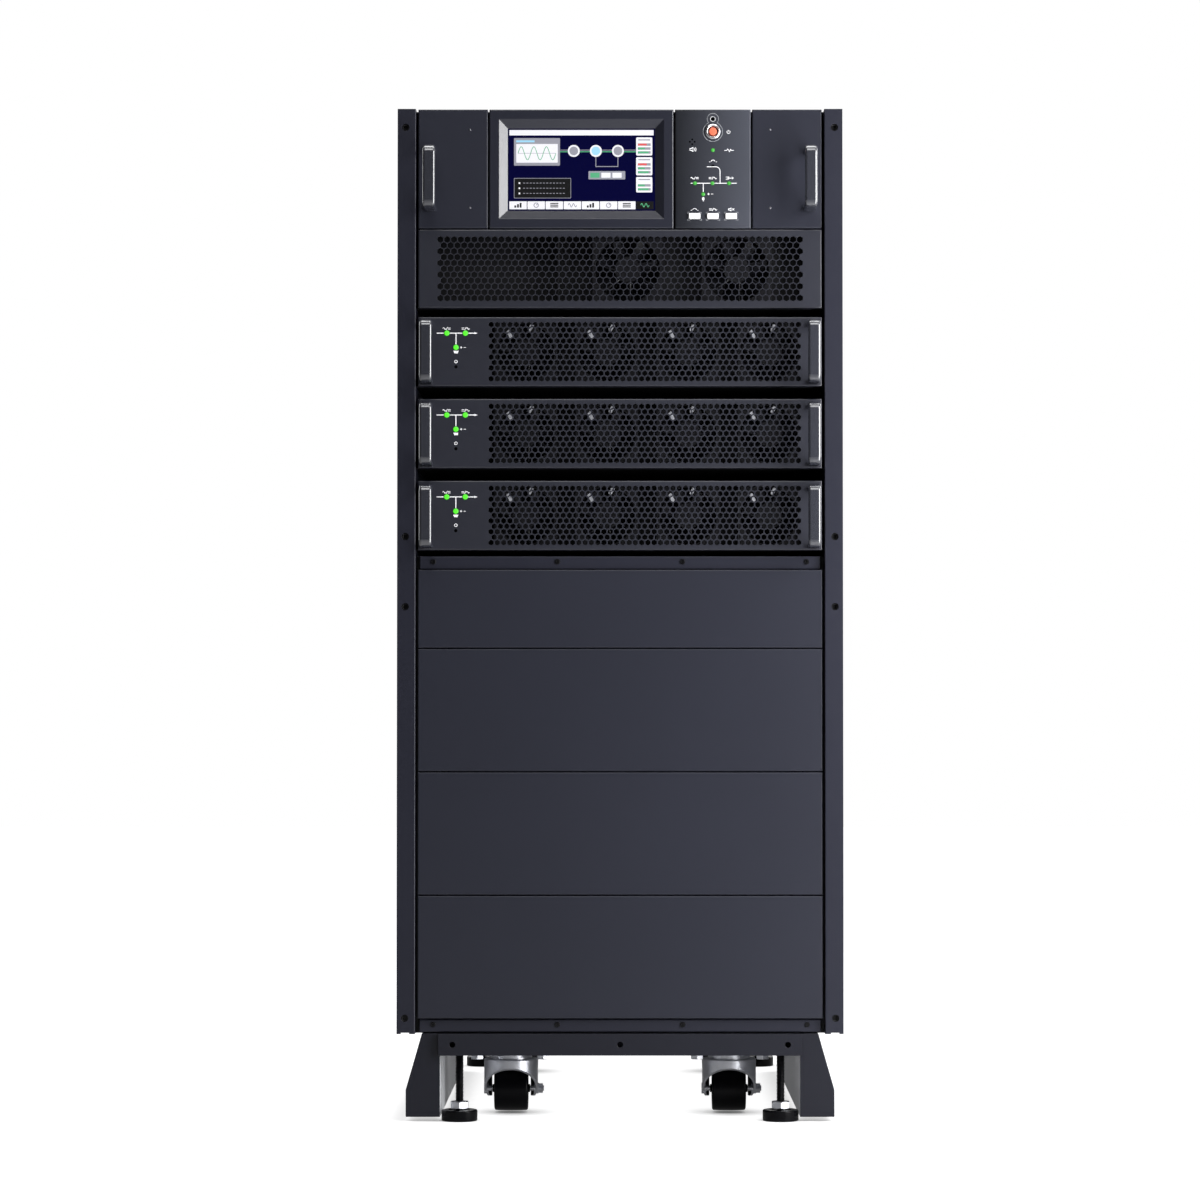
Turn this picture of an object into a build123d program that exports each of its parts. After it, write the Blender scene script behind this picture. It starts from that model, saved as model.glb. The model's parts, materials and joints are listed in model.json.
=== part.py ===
# Modular uninterruptible power cabinet: a power section on a battery section, on a low base with
# casters, levelling feet and side stabilisers. The control unit and the three power modules slide out.
# Millimetres. +X is right, +Y goes to the back, +Z is up. The origin is on the floor, under the middle
# of the overall box. A depth below is counted back from the front plane of the rack ears.

from build123d import *
from math import cos, radians, sqrt
import os

os.makedirs("parts", exist_ok=True)

# The whole cabinet
body_width = 446.0
body_depth = 750.0
battery_height = 502.0
sheet = 1.5
bend_radius = 1.5
cut_over = 2.0

# Fronts of folded sheet
front_side_gap = 4.0
face_setback = 3.0
face_depth = 15.0
trim_setback = 8.0
seam = 1.1
panel_fit = 0.4
slide_fit = 0.3

# Rack ears
ear_width = 18.3
ear_bend_radius = 1.1
rack_step = 44.45
ear_hole_inset = 8.75
ear_hole_margin = 12.0
ear_hole_diameter = 8.0
ups_hole_drop = 20.1
battery_hole_drop = 40.5
ear_notch_width = 9.0
ear_notch_height = 1.4

# Power section, from its floor up
ups_trim_height = 14.6
ups_trim_gap = 6.3
module_count = 3
module_units = 2
module_face_height = 75.3
bypass_gap = 9.7
vent_height = 85.6
row_height = 129.6
shelf_gap = 2.0
case_side_gap = 6.5
case_rear_gap = 60.0
bypass_headroom = 5.0

# Row of panels over the vent
bezel_width = 200.0
control_width = 82.2
panel_gap = 1.6

# Bow handles
handle_reach = 41.0
handle_height = 68.0
handle_width = 13.6
handle_thickness = 6.0
handle_bend = 10.0
handle_edge = 1.2
module_handle_inset = 3.2
blank_handle_inset = 6.5
blank_handle_drop = 13.0

# Hexagonal vents, at a coarse pitch
hole_pitch = 20.4
hole_web = 3.6
module_vent_left = 76.3
module_vent_right = 22.9
module_vent_top = 5.0
vent_side = 20.0
vent_edge = 7.0

# Fans
module_fan_count = 4
module_fan_pitch = 88.0
module_fan_size = 68.0
module_fan_offset = 3.0
vent_fan_size = 76.0
vent_fan_places = (8.2, 126.8)
vent_plate_left = -67.8
fan_depth = 25.0
fan_setback = 6.0
fan_corner = 4.0
fan_wall = 3.0
fan_hub_diameter = 28.0
fan_strut = 5.0
fan_strut_depth = 4.0
fan_gap = 0.5
fan_blade_thickness = 1.6
fan_blade_count = 7
fan_root_pitch = 30.0
fan_tip_pitch = 50.0
fan_blade_share = 0.9
fan_strut_count = 3
fan_tip_gap = 1.5

# Display and control panel
bezel_rim = 10.4
bezel_bevel = 9.8
bezel_recess = 6.0
glass_thickness = 2.5
button_travel = 2.0
button_proud = 3.0
button_fit = 0.3
button_flange = 1.2
button_width = 12.2
button_height = 6.1
button_corner = 0.8
button_spacing = 19.9
button_rise = 13.2
epo_diameter = 8.6
epo_collar_diameter = 17.2
epo_collar_bore = 11.2
epo_collar_height = 2.5
epo_drop = 24.3

# Battery section, from its deck down
fascia_height = 85.0
cover_count = 3
battery_trim_height = 13.8
post_width = 24.0

# Rear outlets
slot_width = 7.0
slot_pitch = 30.0
slot_height = 46.0
slot_count = 11

# Base
base_side_inset = 26.5
beam_height = 23.4
beam_depth = 40.0
beam_sheet = 2.0
beam_setback = 2.0
beam_hole_diameter = 6.4
beam_hole_inset = 15.3
rail_width = 28.0
cross_depth = 90.0
foot_inset = 22.5
foot_setback = 20.0
foot_rear_gap = 68.0
stabiliser_setback = 8.0
stabiliser_rear_gap = 148.0
stabiliser_top = 17.9
stabiliser_foot = 35.3
stabiliser_knee = 34.2
stabiliser_clear = 5.0
stabiliser_sheet = 2.0
stabiliser_beam_gap = 0.6

# Levelling feet
pad_diameter = 39.0
pad_edge = 10.5
pad_height = 12.0
pad_bevel = 1.5
rod_diameter = 9.0
rod_fit = 0.15
rod_end_gap = 5.0
nut_flats = 18.5
nut_height = 7.8
nut_gap = 1.2

# Casters
caster_inset = 76.1
caster_setback = 98.0
caster_rear_gap = 154.0
caster_trail = 11.0
caster_plate_width = 90.0
caster_plate_depth = 76.0
caster_plate_thickness = 3.0
caster_bolt_x = 36.0
caster_bolt_y = 29.0
caster_nut_flats = 13.0
caster_nut_height = 6.5
swivel_diameter = 46.0
swivel_height = 7.3
swivel_gap = 0.3
fork_sheet = 2.5
fork_rim = 1.2
fork_brow = 9.3
fork_skirt = 8.0
fork_leg_back = 17.0
fork_leg_toe = 14.2
fork_leg_end = 17.8
fork_leg_round = 1.0
fork_skirt_round = 5.0
axle_diameter = 6.0
axle_fit = 0.08
axle_washer_diameter = 12.0
axle_washer_length = 2.5
axle_nut_flats = 10.0
axle_nut_length = 4.8
axle_tip = 1.2
wheel_diameter = 49.0
wheel_width = 37.2
wheel_lift = 2.0
wheel_crown_gap = 7.5
wheel_side_gap = 8.6
wheel_bevel = 2.0
wheel_dish = 3.0
wheel_rim = 6.0
wheel_bush_diameter = 9.0
wheel_bush_gap = 0.5

# Places that follow
total_depth = body_depth + handle_reach - face_setback
ear_y = handle_reach - face_setback - total_depth / 2
rear_y = ear_y + body_depth
face_y = ear_y + face_setback
face_back_y = face_y + face_depth
lining_y = face_back_y + shelf_gap
case_back_y = rear_y - case_rear_gap
inner_x = body_width / 2 - sheet
ear_x = body_width / 2 + ear_width
face_x = body_width / 2 - front_side_gap
case_x = inner_x - case_side_gap
beam_x = body_width / 2 - base_side_inset
foot_x = beam_x - foot_inset
caster_x = beam_x - caster_inset

# Heights that follow, from the floor up
axle_height = wheel_lift + wheel_diameter / 2
fork_top = wheel_lift + wheel_diameter + wheel_crown_gap + fork_sheet
beam_z = fork_top + swivel_height + swivel_gap + caster_plate_thickness
floor_z = beam_z + beam_height
split_z = floor_z + battery_height
module_pitch = module_units * rack_step
first_module_z = split_z + ups_trim_height + ups_trim_gap
module_z = [first_module_z + n * module_pitch for n in reversed(range(module_count))]
bypass_z = module_z[0] + module_face_height + bypass_gap
row_z = bypass_z + vent_height + seam
top_z = row_z + row_height
case_inset = sheet + panel_fit

# Casters and feet that follow
fork_radius = wheel_width / 2 + wheel_side_gap + fork_sheet
rows_of_feet = (ear_y + foot_setback, rear_y - foot_rear_gap)
caster_rows = {"front": ear_y + caster_setback, "rear": rear_y - caster_rear_gap}
caster_sides = {"left": -caster_x, "right": caster_x}


def slab(x_span, y_span, z_span):
    """A block between two values on each axis."""
    spans = (x_span, y_span, z_span)
    size = [high - low for low, high in spans]
    return Pos(*[low for low, high in spans]) * Box(*size, align=(Align.MIN, Align.MIN, Align.MIN))


def both_sides(shape):
    """A piece and its mirror image across the cabinet."""
    return [shape, mirror(shape, about=Plane.YZ)]


def front_plane(x, y, z):
    """A plane that faces the front, with its own X to the right and its own Y up."""
    return Plane(origin=(x, y, z), x_dir=(1, 0, 0), z_dir=(0, -1, 0))


def drilling(places, y, diameter, length):
    """Round cutters that run back along +Y from a front surface."""
    return [
        front_plane(x, y - cut_over, z) * extrude(Circle(diameter / 2), -(length + 2 * cut_over))
        for x, z in places
    ]


def save(name, solids):
    """One file for each named piece or set of like pieces."""
    shape = solids if not isinstance(solids, list) else Compound(children=[s for s in solids])
    shape.label = name
    export_step(shape, f"parts/{name}.step")


def folded_front(x_span, z_span, front_y=face_y, depth=face_depth):
    """A front of folded sheet: a face with its four edges bent back, rounded along the bends."""
    outer = slab(x_span, (front_y, front_y + depth), z_span)
    outer = fillet(outer.faces().sort_by(Axis.Y)[0].edges(), bend_radius)
    hollow = slab(
        (x_span[0] + sheet, x_span[1] - sheet),
        (front_y + sheet, front_y + depth + cut_over),
        (z_span[0] + sheet, z_span[1] - sheet),
    )
    return outer - hollow


def honeycomb(x_span, z_span):
    """Cutters for staggered hexagonal holes, points up, centred in a rectangle of a front."""
    flats = hole_pitch - hole_web
    corner_radius = flats / 2 / cos(radians(30))
    row_pitch = hole_pitch * sqrt(3) / 2
    width = x_span[1] - x_span[0]
    height = z_span[1] - z_span[0]
    columns = int((width - flats) // hole_pitch) + 1
    rows = int((height - 2 * corner_radius) // row_pitch) + 1
    centre_x = (x_span[0] + x_span[1]) / 2
    centre_z = (z_span[0] + z_span[1]) / 2
    cell = extrude(RegularPolygon(corner_radius, 6, rotation=30), -(sheet + 2 * cut_over))
    cutters = []
    for row in range(rows):
        count = columns - row % 2
        z = centre_z + (row - (rows - 1) / 2) * row_pitch
        for column in range(count):
            x = centre_x + (column - (count - 1) / 2) * hole_pitch
            cutters.append(front_plane(x, face_y - cut_over, z) * cell)
    return cutters


def eared_wall(z_span, hole_drop, notched):
    """A right side wall of one section: sheet bent out at the front into a drilled rack ear."""
    outline = Polyline(
        (inner_x, ear_y),
        (ear_x, ear_y),
        (ear_x, ear_y + sheet),
        (body_width / 2, ear_y + sheet),
        (body_width / 2, rear_y),
        (inner_x, rear_y),
        close=True,
    )
    wall = Pos(0, 0, z_span[0]) * extrude(make_face(outline), z_span[1] - z_span[0])
    bend = wall.edges().filter_by(Axis.Z).sort_by_distance((inner_x, ear_y, z_span[0]))[0]
    wall = fillet(bend, ear_bend_radius)
    top_hole_z = z_span[1] - hole_drop
    steps = (top_hole_z - z_span[0] - ear_hole_margin) // rack_step
    hole_z = (top_hole_z, top_hole_z - steps * rack_step)
    wall -= drilling([(ear_x - ear_hole_inset, z) for z in hole_z], ear_y, ear_hole_diameter, sheet)
    if notched:
        ear_middle = ear_x - ear_width / 2
        wall -= slab(
            (ear_middle - ear_notch_width / 2, ear_middle + ear_notch_width / 2),
            (ear_y - cut_over, ear_y + sheet + cut_over),
            (z_span[0] - cut_over, z_span[0] + ear_notch_height),
        )
    return wall


def lipped_floor(low_z, lip_height, lip_y):
    """A floor sheet between the walls, its front edge turned up behind a trim strip."""
    floor = slab((-inner_x, inner_x), (lip_y, rear_y - sheet), (low_z, low_z + sheet))
    lip = slab((-inner_x, inner_x), (lip_y, lip_y + sheet), (low_z, low_z + lip_height))
    return floor + lip


def trim_strip(z_span):
    """A narrow strip screwed to the lip of a floor."""
    half = face_x - panel_gap
    front_y = ear_y + trim_setback
    return folded_front((-half, half), z_span, front_y, face_back_y - front_y)


def bow_handle(x, z):
    """A flat bar bent into a bow, seated on the front at both ends."""
    outer = Pos(face_y - handle_reach / 2, z) * Rectangle(handle_reach, handle_height)
    outer = fillet(outer.vertices().group_by(Axis.X)[0], handle_bend)
    gap_depth = handle_reach - handle_thickness
    gap = Pos(face_y - gap_depth / 2, z) * Rectangle(gap_depth, handle_height - 2 * handle_thickness)
    gap = fillet(gap.vertices().group_by(Axis.X)[0], handle_bend - handle_thickness)
    side = Plane(origin=(x - handle_width / 2, 0, 0), x_dir=(0, 1, 0), z_dir=(1, 0, 0))
    bow = extrude(side * (outer - gap), handle_width)
    edges = [
        edge
        for face in bow.faces().filter_by(Axis.X)
        for edge in face.edges()
        if edge.center().Y < face_y - handle_edge
    ]
    return chamfer(edges, handle_edge)


def twisted_blade(root_radius, tip_radius, depth):
    """A blade along +X, turned less from the fan axis at its root than at its tip."""
    sections = []
    for reach, pitch in ((root_radius, fan_root_pitch), (tip_radius, fan_tip_pitch)):
        chord = depth * fan_blade_share / cos(radians(pitch))
        across = Plane(origin=(reach, 0, 0), x_dir=(0, 1, 0), z_dir=(1, 0, 0))
        sections.append(across * Rectangle(chord, fan_blade_thickness, rotation=90 - pitch))
    return loft(sections, ruled=True)


def axial_fan(size):
    """A square frame with a round bore, a motor on struts at the back, and a rotor with twisted blades."""
    bore_radius = size / 2 - fan_wall
    hub_radius = fan_hub_diameter / 2
    frame = extrude(RectangleRounded(size, size, fan_corner) - Circle(bore_radius), -fan_depth)
    motor = Circle(hub_radius)
    for n in range(fan_strut_count):
        reach = (hub_radius + bore_radius) / 2
        motor += Rot(0, 0, 90 + 360 * n / fan_strut_count) * Pos(reach, 0) * Rectangle(size / 2, fan_strut)
    motor &= Circle(bore_radius + fan_wall / 2)
    frame += Pos(0, 0, -fan_depth) * extrude(motor, fan_strut_depth)
    rotor_back = -fan_depth + fan_strut_depth + fan_gap
    rotor_depth = fan_depth - fan_strut_depth - 2 * fan_gap
    rotor = Pos(0, 0, rotor_back) * extrude(Circle(hub_radius), rotor_depth)
    tip_radius = bore_radius - fan_tip_gap
    blade = Pos(0, 0, rotor_back + rotor_depth / 2) * twisted_blade(hub_radius / 2, bore_radius, rotor_depth)
    blade &= Pos(0, 0, rotor_back) * extrude(Circle(tip_radius), rotor_depth)
    for n in range(fan_blade_count):
        rotor += Rot(0, 0, 360 * n / fan_blade_count) * blade
    return frame, rotor


def placed_fan(fan, x, z):
    """Both solids of a fan, set a small way behind a front."""
    place = front_plane(x, face_y + sheet + fan_setback, z)
    return [place * solid for solid in fan]


def module_case(low_z):
    """A closed module housing with a pocket for the fans behind its front."""
    z_span = (low_z + case_inset, low_z + module_face_height - case_inset)
    case = slab((-case_x, case_x), (face_y + sheet, case_back_y), z_span)
    pocket_back = face_y + sheet + fan_setback + fan_depth
    case -= slab(
        (-case_x + sheet, case_x - sheet),
        (face_y - cut_over, pocket_back),
        (z_span[0] + sheet, z_span[1] - sheet),
    )
    return case


def module_front(low_z):
    """The folded front of a power module, with its vent on the right of the legend field."""
    z_span = (low_z, low_z + module_face_height)
    front = folded_front((-face_x, face_x), z_span)
    vent = (-face_x + module_vent_left, face_x - module_vent_right)
    return front - honeycomb(vent, (z_span[0] + module_vent_top, z_span[1] - module_vent_top))


def module_fans(fan, low_z):
    """A row of fans in the pocket of a module."""
    vent_middle = (module_vent_left - module_vent_right) / 2 + module_fan_offset
    fans = []
    for n in range(module_fan_count):
        x = vent_middle + (n - (module_fan_count - 1) / 2) * module_fan_pitch
        fans += placed_fan(fan, x, low_z + module_face_height / 2)
    return fans


def side_handles(inset, z):
    """One handle near each side edge of a front."""
    return both_sides(bow_handle(face_x - inset - handle_width / 2, z))


def bypass_case():
    """The housing of the control unit, with a fan pocket behind the vent and a plate for two fans."""
    x_span = (-case_x, case_x)
    low_z = bypass_z + case_inset
    high_z = top_z - sheet - bypass_headroom
    case = slab(x_span, (face_back_y, case_back_y), (low_z, high_z))
    case += slab(x_span, (face_y + sheet, face_back_y), (low_z, bypass_z + vent_height - case_inset))
    pocket_back = face_y + sheet + fan_setback + fan_depth
    case -= slab(
        (x_span[0] + sheet, x_span[1] - sheet),
        (face_y - cut_over, pocket_back),
        (low_z + sheet, bypass_z + vent_height - case_inset - sheet),
    )
    flange = slab(
        (vent_plate_left, vent_plate_left + sheet),
        (face_y + sheet + fan_setback, pocket_back),
        (low_z + sheet, bypass_z + vent_height - case_inset - sheet),
    )
    return case + flange


def bypass_front_row():
    """The edges of the four panels of the upper row, from left to right."""
    blank_width = face_x - (bezel_width + control_width + 3 * panel_gap) / 2
    left = (-face_x, -face_x + blank_width)
    bezel = (left[1] + panel_gap, left[1] + panel_gap + bezel_width)
    right = (face_x - blank_width, face_x)
    control = (bezel[1] + panel_gap, right[0] - panel_gap)
    return left, bezel, control, right


def display_bezel(x_span):
    """A moulded surround that slopes in to the screen."""
    z_span = (row_z, top_z)
    outer = slab(x_span, (face_y, face_back_y), z_span)
    outer = fillet(outer.faces().sort_by(Axis.Y)[0].edges(), bend_radius)
    middle = ((x_span[0] + x_span[1]) / 2, (z_span[0] + z_span[1]) / 2)
    mouth = (bezel_width - 2 * bezel_rim, z_span[1] - z_span[0] - 2 * bezel_rim)
    throat = (mouth[0] - 2 * bezel_bevel, mouth[1] - 2 * bezel_bevel)
    near = front_plane(middle[0], face_y, middle[1]) * Rectangle(*mouth)
    far = front_plane(middle[0], face_y + bezel_recess, middle[1]) * Rectangle(*throat)
    outer -= loft([near, far])
    outer -= front_plane(middle[0], face_y, middle[1]) * extrude(Rectangle(*throat), -(face_depth + cut_over))
    pocket = (throat[0] + 2 * bezel_bevel, throat[1] + 2 * bezel_bevel)
    back = front_plane(middle[0], face_y + bezel_recess + glass_thickness, middle[1])
    outer -= back * extrude(Rectangle(*pocket), -face_depth)
    glass = front_plane(middle[0], face_y + bezel_recess, middle[1])
    return outer, glass * extrude(Rectangle(*throat), -glass_thickness)


def push_button(x, z, outline, flange):
    """A cap through the panel with a wider flange that holds it from behind."""
    front_y = face_y - button_proud
    back_y = face_y + sheet + button_fit
    cap = front_plane(x, front_y, z) * extrude(outline, front_y - back_y)
    cap = chamfer(cap.faces().sort_by(Axis.Y)[0].edges(), button_fit)
    return cap + front_plane(x, back_y, z) * extrude(flange, -button_flange)


def control_parts(x_span):
    """The control panel, its collar, the round stop button and the three keys."""
    middle = (x_span[0] + x_span[1]) / 2
    epo_z = top_z - epo_drop
    keys_z = row_z + button_rise
    panel = folded_front(x_span, (row_z, top_z))
    bore = Circle(epo_diameter / 2 + button_fit)
    key = RectangleRounded(button_width, button_height, button_corner)
    key_flange = Rectangle(button_width + 2 * button_flange, button_height + 2 * button_flange)
    key_hole = Rectangle(button_width + 2 * button_fit, button_height + 2 * button_fit)
    panel -= front_plane(middle, face_y - cut_over, epo_z) * extrude(bore, -(sheet + 2 * cut_over))
    cap = Circle(epo_diameter / 2)
    cap_flange = Circle(epo_diameter / 2 + button_flange)
    buttons = {"epo_button": push_button(middle, epo_z, cap, cap_flange)}
    for n, name in enumerate(("bypass_key", "inverter_key", "mute_key")):
        x = middle + (n - 1) * button_spacing
        panel -= front_plane(x, face_y - cut_over, keys_z) * extrude(key_hole, -(sheet + 2 * cut_over))
        buttons[name] = push_button(x, keys_z, key, key_flange)
    ring = Circle(epo_collar_diameter / 2) - Circle(epo_collar_bore / 2)
    collar = front_plane(middle, face_y, epo_z) * extrude(ring, epo_collar_height)
    collar = chamfer(collar.faces().sort_by(Axis.Y)[0].edges(), button_fit)
    return panel, collar, buttons


def rear_panel(z_span, rows):
    """A plain rear sheet, with a row of upright outlet slots behind each unit."""
    panel = slab((-inner_x, inner_x), (rear_y - sheet, rear_y), z_span)
    slot = SlotOverall(slot_height, slot_width, rotation=90)
    cutter = extrude(slot, -(sheet + 2 * cut_over))
    for z in rows:
        for n in range(slot_count):
            x = (n - (slot_count - 1) / 2) * slot_pitch
            panel -= front_plane(x, rear_y - sheet - cut_over, z) * cutter
    return panel


def channel_beam(front_y, holes):
    """A beam across the base, a channel that opens to the middle of the cabinet."""
    y_span = (front_y, front_y + beam_depth)
    beam = slab((-beam_x, beam_x), y_span, (beam_z, floor_z))
    opened = (y_span[0] + beam_sheet, y_span[1] + cut_over)
    if not holes:
        opened = (y_span[0] - cut_over, y_span[1] - beam_sheet)
    beam -= slab(
        (-beam_x - cut_over, beam_x + cut_over),
        opened,
        (beam_z + beam_sheet, floor_z - beam_sheet),
    )
    if holes:
        places = [(n * (beam_x - beam_hole_inset), (beam_z + floor_z) / 2) for n in (-1, 0, 1)]
        beam -= drilling(places, front_y, beam_hole_diameter, beam_sheet)
    row_y = rows_of_feet[0 if holes else 1]
    rod_hole = extrude(Circle(rod_diameter / 2 + rod_fit), beam_sheet + 2 * cut_over)
    for x in (-foot_x, foot_x):
        beam -= Pos(x, row_y, beam_z - cut_over) * rod_hole
    return beam


def base_frame(y_span):
    """Two side rails between the beams, joined by a cross member over each pair of casters."""
    inside = beam_x - rail_width
    rail = slab((inside, beam_x), y_span, (beam_z, floor_z))
    frame = rail + mirror(rail, about=Plane.YZ)
    for y in caster_rows.values():
        cross = slab((-inside, inside), (y - cross_depth / 2, y + cross_depth / 2), (beam_z, floor_z))
        cross -= slab(
            (-inside - cut_over, inside + cut_over),
            (y - cross_depth / 2 + beam_sheet, y + cross_depth / 2 - beam_sheet),
            (beam_z + beam_sheet, floor_z + cut_over),
        )
        frame += cross
    return frame


def stabiliser():
    """A side bracket of folded sheet, open below, whose outer wall slopes out to widen the stance."""
    front_y = ear_y + stabiliser_setback
    length = rear_y - stabiliser_rear_gap - front_y
    inner = beam_x
    inboard = inner - stabiliser_sheet
    step_z = beam_z - stabiliser_beam_gap
    outline = Polyline(
        (inner, floor_z),
        (inner + stabiliser_top, floor_z),
        (inner + stabiliser_foot, stabiliser_knee),
        (inner + stabiliser_foot, stabiliser_clear),
        (inboard, stabiliser_clear),
        (inboard, step_z),
        (inner, step_z),
        close=True,
    )
    section = make_face(outline)
    place = front_plane(0, front_y, 0)
    body = place * extrude(section, -length)
    core = offset(section, -stabiliser_sheet, kind=Kind.INTERSECTION)
    core += Pos(inner + stabiliser_foot / 2 - stabiliser_sheet / 2, stabiliser_clear) * Rectangle(
        stabiliser_foot - stabiliser_sheet, 2 * stabiliser_sheet
    )
    hollow = front_plane(0, front_y + stabiliser_sheet, 0) * extrude(core, -(length - 2 * stabiliser_sheet))
    return body - hollow


def hexagon(flats):
    """A nut outline with a corner to the front, given across its flats."""
    return RegularPolygon(flats / 2 / cos(radians(30)), 6, rotation=30)


def levelling_foot(x, y):
    """A round pad under a threaded rod with its nut, up into the beam."""
    pad = Polyline(
        (0, 0),
        (pad_diameter / 2 - pad_bevel, 0),
        (pad_diameter / 2, pad_bevel),
        (pad_diameter / 2, pad_edge),
        (pad_diameter / 2 - pad_bevel, pad_height),
        (rod_diameter / 2, pad_height),
        (rod_diameter / 2, floor_z - beam_sheet - rod_end_gap),
        (0, floor_z - beam_sheet - rod_end_gap),
        close=True,
    )
    foot = revolve(Plane.XZ * make_face(pad), Axis.Z)
    foot += Pos(0, 0, pad_height + nut_gap) * extrude(hexagon(nut_flats), nut_height)
    return Pos(x, y, 0) * foot


def caster_plate(x, y):
    """A top plate with four bolts and their nuts, under the cross member."""
    low_z = beam_z - caster_plate_thickness
    half_x = caster_plate_width / 2
    half_y = caster_plate_depth / 2
    plate = slab((x - half_x, x + half_x), (y - half_y, y + half_y), (low_z, beam_z))
    nut = extrude(hexagon(caster_nut_flats), -caster_nut_height)
    for dx in (-caster_bolt_x, caster_bolt_x):
        for dy in (-caster_bolt_y, caster_bolt_y):
            plate += Pos(x + dx, y + dy, low_z) * nut
    return plate


def caster_fork(x, y):
    """A pressed cup under its swivel race, its skirt cut back to two legs that trail to the axle bolt."""
    side = make_face(
        Polyline(
            (-fork_radius, fork_top),
            (fork_radius, fork_top),
            (fork_radius, fork_top - fork_skirt),
            (fork_leg_back, fork_top - fork_skirt),
            (fork_leg_back, fork_leg_end),
            (fork_leg_toe, fork_leg_end),
            (-fork_radius, fork_top - fork_brow),
            close=True,
        )
    )
    side = fillet(side.vertices().group_by(Axis.Y)[0], fork_leg_round)
    inner_corner = side.vertices().sort_by_distance((fork_leg_back, fork_top - fork_skirt))[0]
    side = fillet(inner_corner, fork_skirt_round)
    across = Plane(origin=(-fork_radius, 0, 0), x_dir=(0, 1, 0), z_dir=(1, 0, 0))
    height = fork_top - fork_leg_end
    cup = Pos(0, 0, fork_leg_end) * extrude(Circle(fork_radius), height)
    cup = chamfer(cup.edges().group_by(Axis.Z)[-1], fork_rim)
    cup -= Pos(0, 0, fork_leg_end) * extrude(Circle(fork_radius - fork_sheet), height - fork_sheet)
    cup &= extrude(across * side, 2 * fork_radius)
    cup += Pos(0, 0, fork_top) * extrude(Circle(swivel_diameter / 2), swivel_height)
    seat_x = sqrt(fork_radius**2 - caster_trail**2)
    left = Plane(origin=(-seat_x - axle_washer_length, caster_trail, axle_height), z_dir=(1, 0, 0))
    right = Plane(origin=(seat_x - fork_sheet, caster_trail, axle_height), z_dir=(1, 0, 0))
    boss_length = fork_sheet + axle_washer_length
    bolt_length = 2 * (seat_x + axle_washer_length) + axle_nut_length + axle_tip
    cup += left * extrude(Circle(axle_washer_diameter / 2), boss_length)
    cup += left * extrude(Circle(axle_diameter / 2), bolt_length)
    cup += right * extrude(Circle(axle_washer_diameter / 2), boss_length)
    cup += right * extrude(hexagon(axle_nut_flats), boss_length + axle_nut_length)
    return Pos(x, y, 0) * cup


def caster_wheel(x, y):
    """A wide wheel with bevelled shoulders and dished sides, on a bush that is bored for the axle."""
    radius = wheel_diameter / 2
    half = wheel_width / 2
    bore = axle_diameter / 2 + axle_fit
    bush_radius = wheel_bush_diameter / 2
    leg_x = sqrt((fork_radius - fork_sheet) ** 2 - (caster_trail + axle_washer_diameter / 2) ** 2)
    bush = leg_x - wheel_bush_gap
    profile = make_face(
        Polyline(
            (-bush, bore),
            (bush, bore),
            (bush, bush_radius),
            (half - wheel_dish, bush_radius),
            (half - wheel_dish, radius - wheel_rim),
            (half, radius - wheel_rim),
            (half, radius),
            (-half, radius),
            (-half, radius - wheel_rim),
            (-half + wheel_dish, radius - wheel_rim),
            (-half + wheel_dish, bush_radius),
            (-bush, bush_radius),
            close=True,
        )
    )
    profile = chamfer(profile.vertices().group_by(Axis.Y)[-1], wheel_bevel)
    return Pos(x, y + caster_trail, axle_height) * revolve(profile, Axis.X)


# Power section
save("ups_side_walls", both_sides(eared_wall((split_z, top_z), ups_hole_drop, False)))
save("ups_top_cover", slab((-inner_x, inner_x), (lining_y, rear_y - sheet), (top_z - sheet, top_z)))
unit_middles = [z + module_face_height / 2 for z in module_z]
unit_middles.append((bypass_z + top_z) / 2)
save("ups_rear_panel", rear_panel((split_z, top_z), unit_middles))
shelves = [
    slab((-inner_x, inner_x), (lining_y, case_back_y), (z - slide_fit - sheet, z - slide_fit))
    for z in [low + case_inset for low in module_z + [bypass_z]]
]
save("ups_shelves", shelves)
save("ups_floor", lipped_floor(split_z, ups_trim_height, face_back_y))
save("ups_lower_trim", trim_strip((split_z + slide_fit, split_z + ups_trim_height)))

# Control unit
left_span, bezel_span, control_span, right_span = bypass_front_row()
bezel, glass = display_bezel(bezel_span)
panel, collar, buttons = control_parts(control_span)
vent_top_z = bypass_z + vent_height
vent = folded_front((-face_x, face_x), (bypass_z, vent_top_z))
vent -= honeycomb((-face_x + vent_side, face_x - vent_side), (bypass_z + vent_edge, vent_top_z - vent_edge))
vent_fan = axial_fan(vent_fan_size)
vent_fans = []
for x in vent_fan_places:
    vent_fans += placed_fan(vent_fan, x, (bypass_z + vent_top_z) / 2)
save("bypass_case", bypass_case())
save("blank_panels", [folded_front(span, (row_z, top_z)) for span in (left_span, right_span)])
save("bypass_handles", side_handles(blank_handle_inset, (row_z + top_z) / 2 - blank_handle_drop))
save("display_bezel", bezel)
save("display_glass", glass)
save("control_panel", panel)
save("epo_collar", collar)
save("vent_panel", vent)
save("vent_fans", vent_fans)
for name, button in buttons.items():
    save(name, button)

# Power modules, counted from the top
module_fan = axial_fan(module_fan_size)
for number, low_z in enumerate(module_z, 1):
    save(f"module_{number}_case", module_case(low_z))
    save(f"module_{number}_front", module_front(low_z))
    save(f"module_{number}_handles", side_handles(module_handle_inset, low_z + module_face_height / 2))
    save(f"module_{number}_fans", module_fans(module_fan, low_z))

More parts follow.
